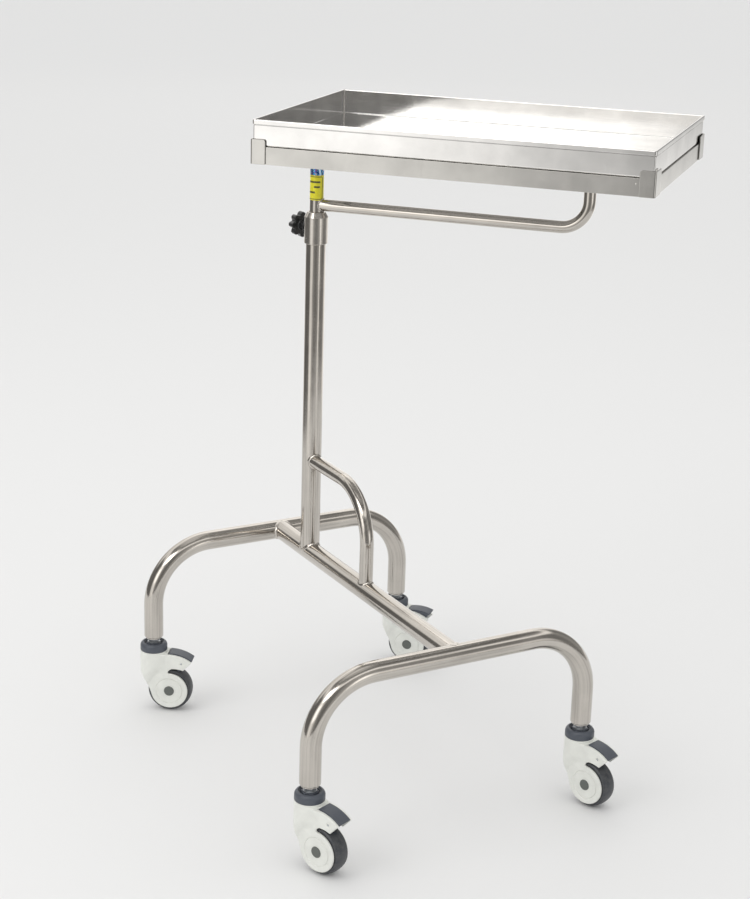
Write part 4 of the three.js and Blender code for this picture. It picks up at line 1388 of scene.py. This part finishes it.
def fork_blank():
    """The solid fork: two mirrored moulded faces joined round their edge."""
    outline = evenly(side_outline(), 1.5)
    count = len(outline)
    points = np.concatenate([np.array(outline), fork_points(outline)])
    vertices, _, faces, origins, _, _ = delaunay_2d_cdt(
        [Vector(p) for p in points], [], [list(range(count))], 1, 1e-4, True,
    )
    flat = np.array([tuple(v) for v in vertices])
    place_of = {}
    for i, sources in enumerate(origins):
        for source in sources:
            place_of[source] = i
    gaps = distance_to(outline, flat)
    for i in range(count):
        gaps[place_of[i]] = 0.0
    width = half_width(flat, gaps)
    middles = np.array([flat[list(face)].mean(axis=0) for face in faces])
    faces = [face for face, within in zip(faces, inside(outline, middles)) if within]
    total = len(flat)
    shape = Shape([(x, -w, z) for (x, z), w in zip(flat, width)]
        + [(x, w, z) for (x, z), w in zip(flat, width)])
    for face in faces:
        shape.faces.append(tuple(face))
        shape.faces.append(tuple(i + total for i in reversed(face)))
    for i in range(count):
        a, b = place_of[i], place_of[(i + 1) % count]
        shape.faces.append((a, a + total, b + total, b))
    mesh = bmesh.new()
    made = [mesh.verts.new(p) for p in shape.points]
    for face in shape.faces:
        if len({made[i] for i in face}) == len(face):
            mesh.faces.new([made[i] for i in face])
    bmesh.ops.remove_doubles(mesh, verts=mesh.verts, dist=2e-3)
    return bevelled(mesh, 0.0)


def build_housing_template():
    """The white fork, hollowed for the wheel, the pedal, the stem and the stem's head."""
    rim = lathe([(0, 99.0), (HOUSING_R + 0.04, 99.0), (HOUSING_R + 0.04, HOUSING_TOP_Z), (0, HOUSING_TOP_Z)],
                120, 0.8, closed=False)
    pocket = plain_prism([
        (25.6, 112), (25.6, 96.5), (36.6, 95.6), (38, 92.5), (40.2, 79), (41, 64), (72, 64), (84, 112),
    ], PEDAL_HALF + 0.3)
    steps = [
        ("UNION", fixed(rim)),
        ("DIFFERENCE", disc_y(WELL_R, CHEEK_IN, TRAIL, WHEEL_R)),
        ("DIFFERENCE", pocket),
        ("DIFFERENCE", lathe([(0, 40), (6.3, 40), (6.3, 120), (0, 120)], 48, 0, closed=False)),
        ("DIFFERENCE", lathe([(0, 40), (10, 40), (10, 80), (0, 80)], 48, 0, closed=False)),
    ]
    return bevelled(combined(fork_blank(), steps), 0.0)


def build_casters():
    housing = build_housing_template()
    for name in CASTERS:
        place = caster_frame(name)
        fork = name + "_fork"
        piece(name + "_caster_housing", housing, place, "white_plastic", fork,
              [name + "_caster_housing"], crease=30)
        build_cap(name, place, fork)
        build_wheel(name, place)
        build_axle(name, place, fork)
        build_pedal(name, place)
        build_pin(name, place, fork)
        build_stem(name, place)


def build_cap(name, place, fork):
    low = HOUSING_TOP_Z + 0.1
    cap = lathe([
        (7, low),
        (HOUSING_R - 0.7, low),
        (HOUSING_R - 0.2, low + 0.6),
        (HOUSING_R - 0.2, low + 8.2),
        (HOUSING_R - 0.9, low + 10.6),
        (HOUSING_R - 2.6, low + 12.8),
        (HOUSING_R - 5.0, CAP_TOP_Z),
        (17.0, CAP_TOP_Z),
        (16.2, CAP_TOP_Z - 1.6),
        (14.9, CAP_TOP_Z - 1.8),
        (14.4, CAP_TOP_Z - 4.2),
        (7, CAP_TOP_Z - 4.2),
    ], 80, radius=0.5, steps=3)
    boss = bmesh.new()
    bmesh.ops.create_cone(
        boss, cap_ends=True, segments=6, radius1=14.2, radius2=13.6, depth=6,
        matrix=Matrix.Translation((0, 0, CAP_TOP_Z - 3.4)),
    )
    cap.add(bevelled(boss, 0.7, 3))
    piece(name + "_swivel_cap", cap, place, "slate_plastic", fork, [name + "_swivel_cap"])


def build_wheel(name, place):
    section = [(27.3, -11.5), (30.2, -11.9), (30.8, -12.8), (33.4, -13), (35.9, -11.2)]
    section += [(36.9, -7.6), (37.45, -2.6), (37.45, 2.6), (36.9, 7.6)]
    section += [(35.9, 11.2), (33.4, 13), (30.8, 12.8), (30.2, 11.9), (27.3, 11.5)]
    tyre = along_y(lathe(section, 96, radius=1.6, steps=4), TRAIL, WHEEL_R)
    wheel = name + "_wheel"
    piece(name + "_wheel_tyre", tyre, place, "tyre_rubber", wheel, [name + "_wheel_tyre"])
    hub = along_y(lathe([
        (4.4, -12.6), (9, -12.6), (9, -4), (23, -4), (24, -10.6), (27.2, -10.6),
        (27.2, 10.6), (24, 10.6), (23, 4), (9, 4), (9, 12.6), (4.4, 12.6),
    ], 64, radius=0.6), TRAIL, WHEEL_R)
    piece(name + "_wheel_hub", hub, place, "nylon", wheel, [name + "_wheel_hub"])


def build_axle(name, place, fork):
    inner = CHEEK_OUT + 0.05
    outer = CHEEK_OUT + 1.4
    axle = along_y(lathe([
        (0, -outer), (8.2, -outer), (8.8, -inner), (4, -inner),
        (4, inner), (8.8, inner), (8.2, outer), (0, outer),
    ], 64, radius=0.5, closed=False), TRAIL, WHEEL_R)
    piece(name + "_wheel_axle", fixed(axle), place, "cap_plastic", fork,
        [name + "_wheel_axle"])


def build_pedal(name, place):
    outline = arc(TRAIL, WHEEL_R, PEDAL_R, 54.5, 91, 22)
    outline += [
        from_wheel(63, 91.2), from_wheel(60, 89), from_wheel(60.3, 82), from_wheel(56, 79),
        from_wheel(44, 73), from_wheel(SHOE_R, 69), from_wheel(SHOE_R, 64), from_wheel(44, 61.5),
        from_wheel(50, 59), from_wheel(PEDAL_R - 3.6, 57.5), from_wheel(PEDAL_R - 3, 54.8),
    ]
    shape = smoothed_prism(outline, PEDAL_HALF - 0.05, 0.7, 3)
    trunnion = along_y(lathe([(0, -14.5), (2.4, -14.5), (2.4, 14.5), (0, 14.5)], 32, 0.3, closed=False),
                       *PEDAL_PIVOT)
    shape.add(fixed(trunnion))
    raised = JOINTS[name + "_brake"]["range_deg"][0] < 0
    if raised:
        pivot = Matrix.Translation((PEDAL_PIVOT[0], 0, PEDAL_PIVOT[1]))
        lift = pivot @ Matrix.Rotation(-math.radians(PEDAL_TRAVEL), 4, "Y") @ pivot.inverted()
        shape = shape.moved(lift)
    piece(name + "_brake_pedal", shape, place, "slate_plastic", name + "_pedal",
          [name + "_brake_pedal"], crease=30)


def build_pin(name, place, fork):
    half = CHEEK_OUT + 0.28
    pin = along_y(lathe([
        (0, -half), (1.2, -half), (1.8, -half + 0.35), (1.8, half - 0.35), (1.2, half), (0, half),
    ], 32, 0.1, closed=False), *STOP_PIN)
    piece(name + "_stop_pin", fixed(pin), place, "zinc_plate", fork, [name + "_stop_pin"])


def build_stem(name, place):
    """The threaded stem, its rivet head under the neck and the hexagon nut in the cap."""
    pin = lathe([
        (0, 76.5), (9.2, 76.5), (9.2, 79.5), (6, 79.5), (6, 150), (0, 150),
    ], 48, 0.4, closed=False)
    across = 9.2
    nut = bmesh.new()
    bmesh.ops.create_cone(
        nut, cap_ends=True, segments=6, radius1=across, radius2=across, depth=7.5,
        matrix=Matrix.Translation((0, 0, 124.8)),
    )
    shape = fixed(pin).add(bevelled(nut, 0.6, 3))
    washer = lathe([(6.1, 120.3), (10.2, 120.3), (10.2, 121.1), (6.1, 121.1)], 64, 0.25)
    shape.add(washer)
    piece(name + "_caster_stem", shape, place, "zinc_plate", "base", [name + "_caster_stem"])


# ---- carried-over CAD nodes --------------------------------------------------------------------
def dress_hidden_parts():
    """Parts deep inside keep their CAD mesh and take a finished material."""
    for name, look in (("guide_bush", "nylon"), ("post_guide", "nylon"), ("clamp_pad", "brass")):
        obj = frame["nodes"][name]
        local = obj.data.attributes.new("local", "FLOAT_VECTOR", "POINT")
        points = np.array([v.co for v in obj.data.vertices], np.float32) / MM
        local.data.foreach_set("vector", points.ravel())
        obj.data.materials.clear()
        obj.data.materials.append(LOOKS[look])


# ---- studio ------------------------------------------------------------------------------------
def plain_mesh(name, points, faces, material):
    mesh = bpy.data.meshes.new(name)
    mesh.from_pydata(points, [], faces)
    mesh.materials.append(material)
    obj = bpy.data.objects.new(name, mesh)
    bpy.context.scene.collection.objects.link(obj)
    return obj


def disc(name, inner, outer, z, material, segments=128):
    points = []
    faces = []
    for s in range(segments):
        a = 2 * math.pi * s / segments
        for r in (inner, outer):
            points.append((r * math.cos(a), r * math.sin(a), z))
    for s in range(segments):
        t = (s + 1) % segments
        faces.append((2 * s, 2 * s + 1, 2 * t + 1, 2 * t))
    return plain_mesh(name, points, faces, material)


def floor_material():
    material = bpy.data.materials.new("studio_floor")
    material.use_nodes = True
    shader = material.node_tree.nodes["Principled BSDF"]
    shader.inputs["Base Color"].default_value = (0.775, 0.775, 0.775, 1)
    shader.inputs["Roughness"].default_value = 0.7
    shader.inputs["Specular IOR Level"].default_value = 0.2
    return material


MIRRORED_FLOOR_R = 1.8   # the floor is seen in reflections only this far out

ROOM_WALLS = [
    (-180, 0.90), (-172, 0.55), (-152, 0.13), (-96, 0.13), (-80, 1.12), (-66, 1.12), (-56, 0.46),
    (-40, 0.20), (-20, 0.16), (5, 0.42), (20, 0.42), (38, 0.20), (62, 0.18), (85, 0.35),
    (104, 0.22), (122, 0.26), (134, 1.0), (152, 1.25), (170, 1.1), (180, 0.90),
]


# Bright patches: level against the turn from the back in degrees, level against the elevation, strength
ROOM_PATCHES = {
    "window": (
        [(0, 0), (96, 0), (104, 1), (134, 1), (142, 0), (360, 0)], [(30, 0), (34, 1), (46, 1), (54, 0)], 4.0),
    "sill": (
        [(0, 0), (94, 0), (102, 1), (123, 1), (127, 0.1), (140, 0), (360, 0)],
        [(3, 0), (8, 1), (24, 1), (28, 0)], 0.9),
    "bounce": (
        [(0, 0), (268, 0), (276, 1), (308, 1), (316, 0), (360, 0)],
        [(-40, 0), (-30, 1), (-10, 1), (-4, 0)], 0.75),
    "strip": (
        [(0, 0), (190, 0), (194, 1), (199, 1), (203, 0), (360, 0)],
        [(-24, 0), (-16, 1), (4, 1), (10, 0)], 0.9),
    "behind": (
        [(0, 1), (40, 1), (50, 0), (310, 0), (320, 1), (360, 1)], [(11, 0), (17, 1), (64, 1), (70, 0)], 0.95),
    "skirt": (
        [(0, 0), (186, 0), (192, 1), (218, 1), (226, 0), (360, 0)], [(-14, 0), (-8, 1), (4, 1), (9, 0)], 0.5),
}


def room_material():
    """What the steel reflects: a plain room with a bright window side, darker corners
    and a ceiling that is bright only overhead."""
    material = bpy.data.materials.new("studio_room")
    material.use_nodes = True
    tree = material.node_tree
    tree.nodes.clear()

    def node(kind, inputs=None, **settings):
        made = tree.nodes.new(kind)
        for key, value in settings.items():
            setattr(made, key, value)
        for key, value in (inputs or {}).items():
            if isinstance(value, bpy.types.NodeSocket):
                tree.links.new(value, made.inputs[key])
            else:
                made.inputs[key].default_value = value
        return made

    def ramp(value, stops):
        made = node("ShaderNodeValToRGB", {"Fac": value})
        elements = made.color_ramp.elements
        while len(elements) > 1:
            elements.remove(elements[-1])
        for i, (at, level) in enumerate(stops):
            element = elements[0] if i == 0 else elements.new(at)
            element.position = at
            element.color = (level, level, level, 1)
        return made.outputs[0]

    where = node("ShaderNodeNewGeometry").outputs["Position"]
    away = node("ShaderNodeVectorMath", {0: where, 1: (0, 0, 0.8)}, operation="SUBTRACT").outputs[0]
    unit = node("ShaderNodeVectorMath", {0: away}, operation="NORMALIZE").outputs[0]
    x, y, z = node("ShaderNodeSeparateXYZ", {0: unit}).outputs
    turn = node("ShaderNodeMath", {0: y, 1: x}, operation="ARCTAN2").outputs[0]
    turn = node("ShaderNodeMapRange", {"Value": turn, "From Min": -math.pi, "From Max": math.pi}).outputs[0]
    rise = node("ShaderNodeMath", {0: z}, operation="ARCSINE").outputs[0]
    rise = node("ShaderNodeMapRange", {
        "Value": rise, "From Min": -math.pi / 2, "From Max": math.pi / 2,
    }).outputs[0]

    def height(degrees):
        return (degrees + 90) / 180

    walls = ramp(turn, [((a + 180) / 360, level) for a, level in ROOM_WALLS])
    wall_share = ramp(rise, [(height(-90), 1), (height(34), 1), (height(52), 0), (height(90), 0)])
    ceiling = ramp(rise, [(height(30), 0.16), (height(60), 0.24), (height(74), 0.7), (height(90), 0.8)])
    lower = ramp(rise, [(height(-60), 0.6), (height(-30), 0.5), (height(-20), 0.06), (height(90), 0)])
    def patch(name):
        """Full strength inside the patch and fading to nothing at its edges."""
        turns, rises, strength = ROOM_PATCHES[name]
        across = ramp(turn, [(a / 360, level) for a, level in turns])
        up = ramp(rise, [(height(e), level) for e, level in rises])
        return node("ShaderNodeMath", {0: across, 1: up}, operation="MULTIPLY").outputs[0], strength

    def added(level, name):
        share, strength = patch(name)
        return node("ShaderNodeMath", {0: share, 1: strength, 2: level}, operation="MULTIPLY_ADD").outputs[0]

    level = node("ShaderNodeMix", {0: wall_share, 2: ceiling, 3: walls}).outputs[0]
    level = node("ShaderNodeMath", {0: level, 1: lower}, operation="ADD").outputs[0]
    for name in ("window", "strip", "bounce", "sill"):
        level = added(level, name)
    ring = ramp(rise, [(height(33), 0), (height(38), 1), (height(46), 1), (height(51), 0)])
    level = node("ShaderNodeMath", {0: ring, 1: 0.9, 2: level}, operation="MULTIPLY_ADD").outputs[0]
    share, strength = patch("behind")
    behind = node("ShaderNodeMath", {0: share, 1: strength}, operation="MULTIPLY").outputs[0]
    level = node("ShaderNodeMath", {0: behind, 1: level}, operation="MAXIMUM").outputs[0]
    level = added(level, "skirt")
    emission = node("ShaderNodeEmission", {"Color": (1, 0.985, 0.96, 1), "Strength": level})
    output = node("ShaderNodeOutputMaterial")
    tree.links.new(emission.outputs[0], output.inputs[0])
    return material


def build_room():
    """A sphere round the set that only reflections see."""
    rings = 24
    around = 48
    radius = 9.0
    points = []
    for i in range(rings + 1):
        e = -math.pi / 2 + math.pi * i / rings
        for s in range(around):
            a = 2 * math.pi * s / around
            points.append((
                radius * math.cos(e) * math.cos(a),
                radius * math.cos(e) * math.sin(a),
                0.8 + radius * math.sin(e),
            ))
    faces = []
    for i in range(rings):
        for s in range(around):
            t = (s + 1) % around
            faces.append((i * around + s, (i + 1) * around + s, (i + 1) * around + t, i * around + t))
    room = plain_mesh("studio_room", points, faces, room_material())
    room.visible_camera = False
    room.visible_diffuse = False
    room.visible_shadow = False
    room.visible_transmission = False
    room.visible_volume_scatter = False
    room.data.shade_smooth()


def build_light(name, position, target, size, power):
    light = bpy.data.lights.new(name, "AREA")
    light.shape = "RECTANGLE"
    light.size, light.size_y = size
    light.energy = power
    light.color = (1.0, 0.985, 0.96)
    obj = bpy.data.objects.new(name, light)
    bpy.context.scene.collection.objects.link(obj)
    obj.location = position
    obj.rotation_euler = (Vector(target) - Vector(position)).to_track_quat("-Z", "Y").to_euler()
    obj.visible_glossy = False
    obj.visible_camera = False


def build_studio():
    floor = floor_material()
    disc("studio_floor", 0.0, MIRRORED_FLOOR_R, 0.0, floor)
    apron = disc("studio_apron", MIRRORED_FLOOR_R, 60.0, 0.0, floor)
    apron.visible_glossy = False
    build_room()
    world = bpy.data.worlds.new("studio_world")
    world.use_nodes = True
    world.node_tree.nodes["Background"].inputs["Color"].default_value = (1.0, 1.0, 0.995, 1)
    world.node_tree.nodes["Background"].inputs["Strength"].default_value = 0.97
    bpy.context.scene.world = world
    build_light("key_light", (0.2, -3.4, 3.2), (0.1, 0, 0.4), (2.6, 1.8), 30)
    build_light("top_light", (-0.6, 0.4, 4.2), (0, 0, 0), (3.2, 3.2), 12)


def build_camera():
    """The view from which the object is usually shown: beyond the front arch, at chest height."""
    position = Vector((2.44055, -1.50001, 1.42707))
    yaw, pitch, roll = 2.6300599, -0.3124621, 0.0305827
    ahead = Vector((math.cos(yaw) * math.cos(pitch), math.sin(yaw) * math.cos(pitch), math.sin(pitch)))
    level = ahead.cross(Vector((0, 0, 1))).normalized()
    up = level.cross(ahead)
    right = level * math.cos(roll) + up * math.sin(roll)
    top = up * math.cos(roll) - level * math.sin(roll)
    camera = bpy.data.cameras.new("camera")
    camera.lens = 75.8
    camera.sensor_width = 36
    camera.sensor_fit = "AUTO"
    obj = bpy.data.objects.new("camera", camera)
    bpy.context.scene.collection.objects.link(obj)
    turn = Matrix((right, top, -ahead)).transposed().to_4x4()
    obj.matrix_world = Matrix.Translation(position) @ turn
    bpy.context.scene.camera = obj


def plain_view():
    """Colours are shown as they are, without a film look."""
    bpy.context.scene.view_settings.view_transform = "Standard"
    bpy.context.scene.view_settings.look = "None"


note_all_welds()
build_base()
build_collar()
build_plugs()
build_knob()
build_screw()
build_post()
build_labels()
build_pan()
build_rails()
build_brackets()
build_cross_bars()
build_casters()
build_welds()
dress_hidden_parts()
build_studio()
build_camera()
plain_view()
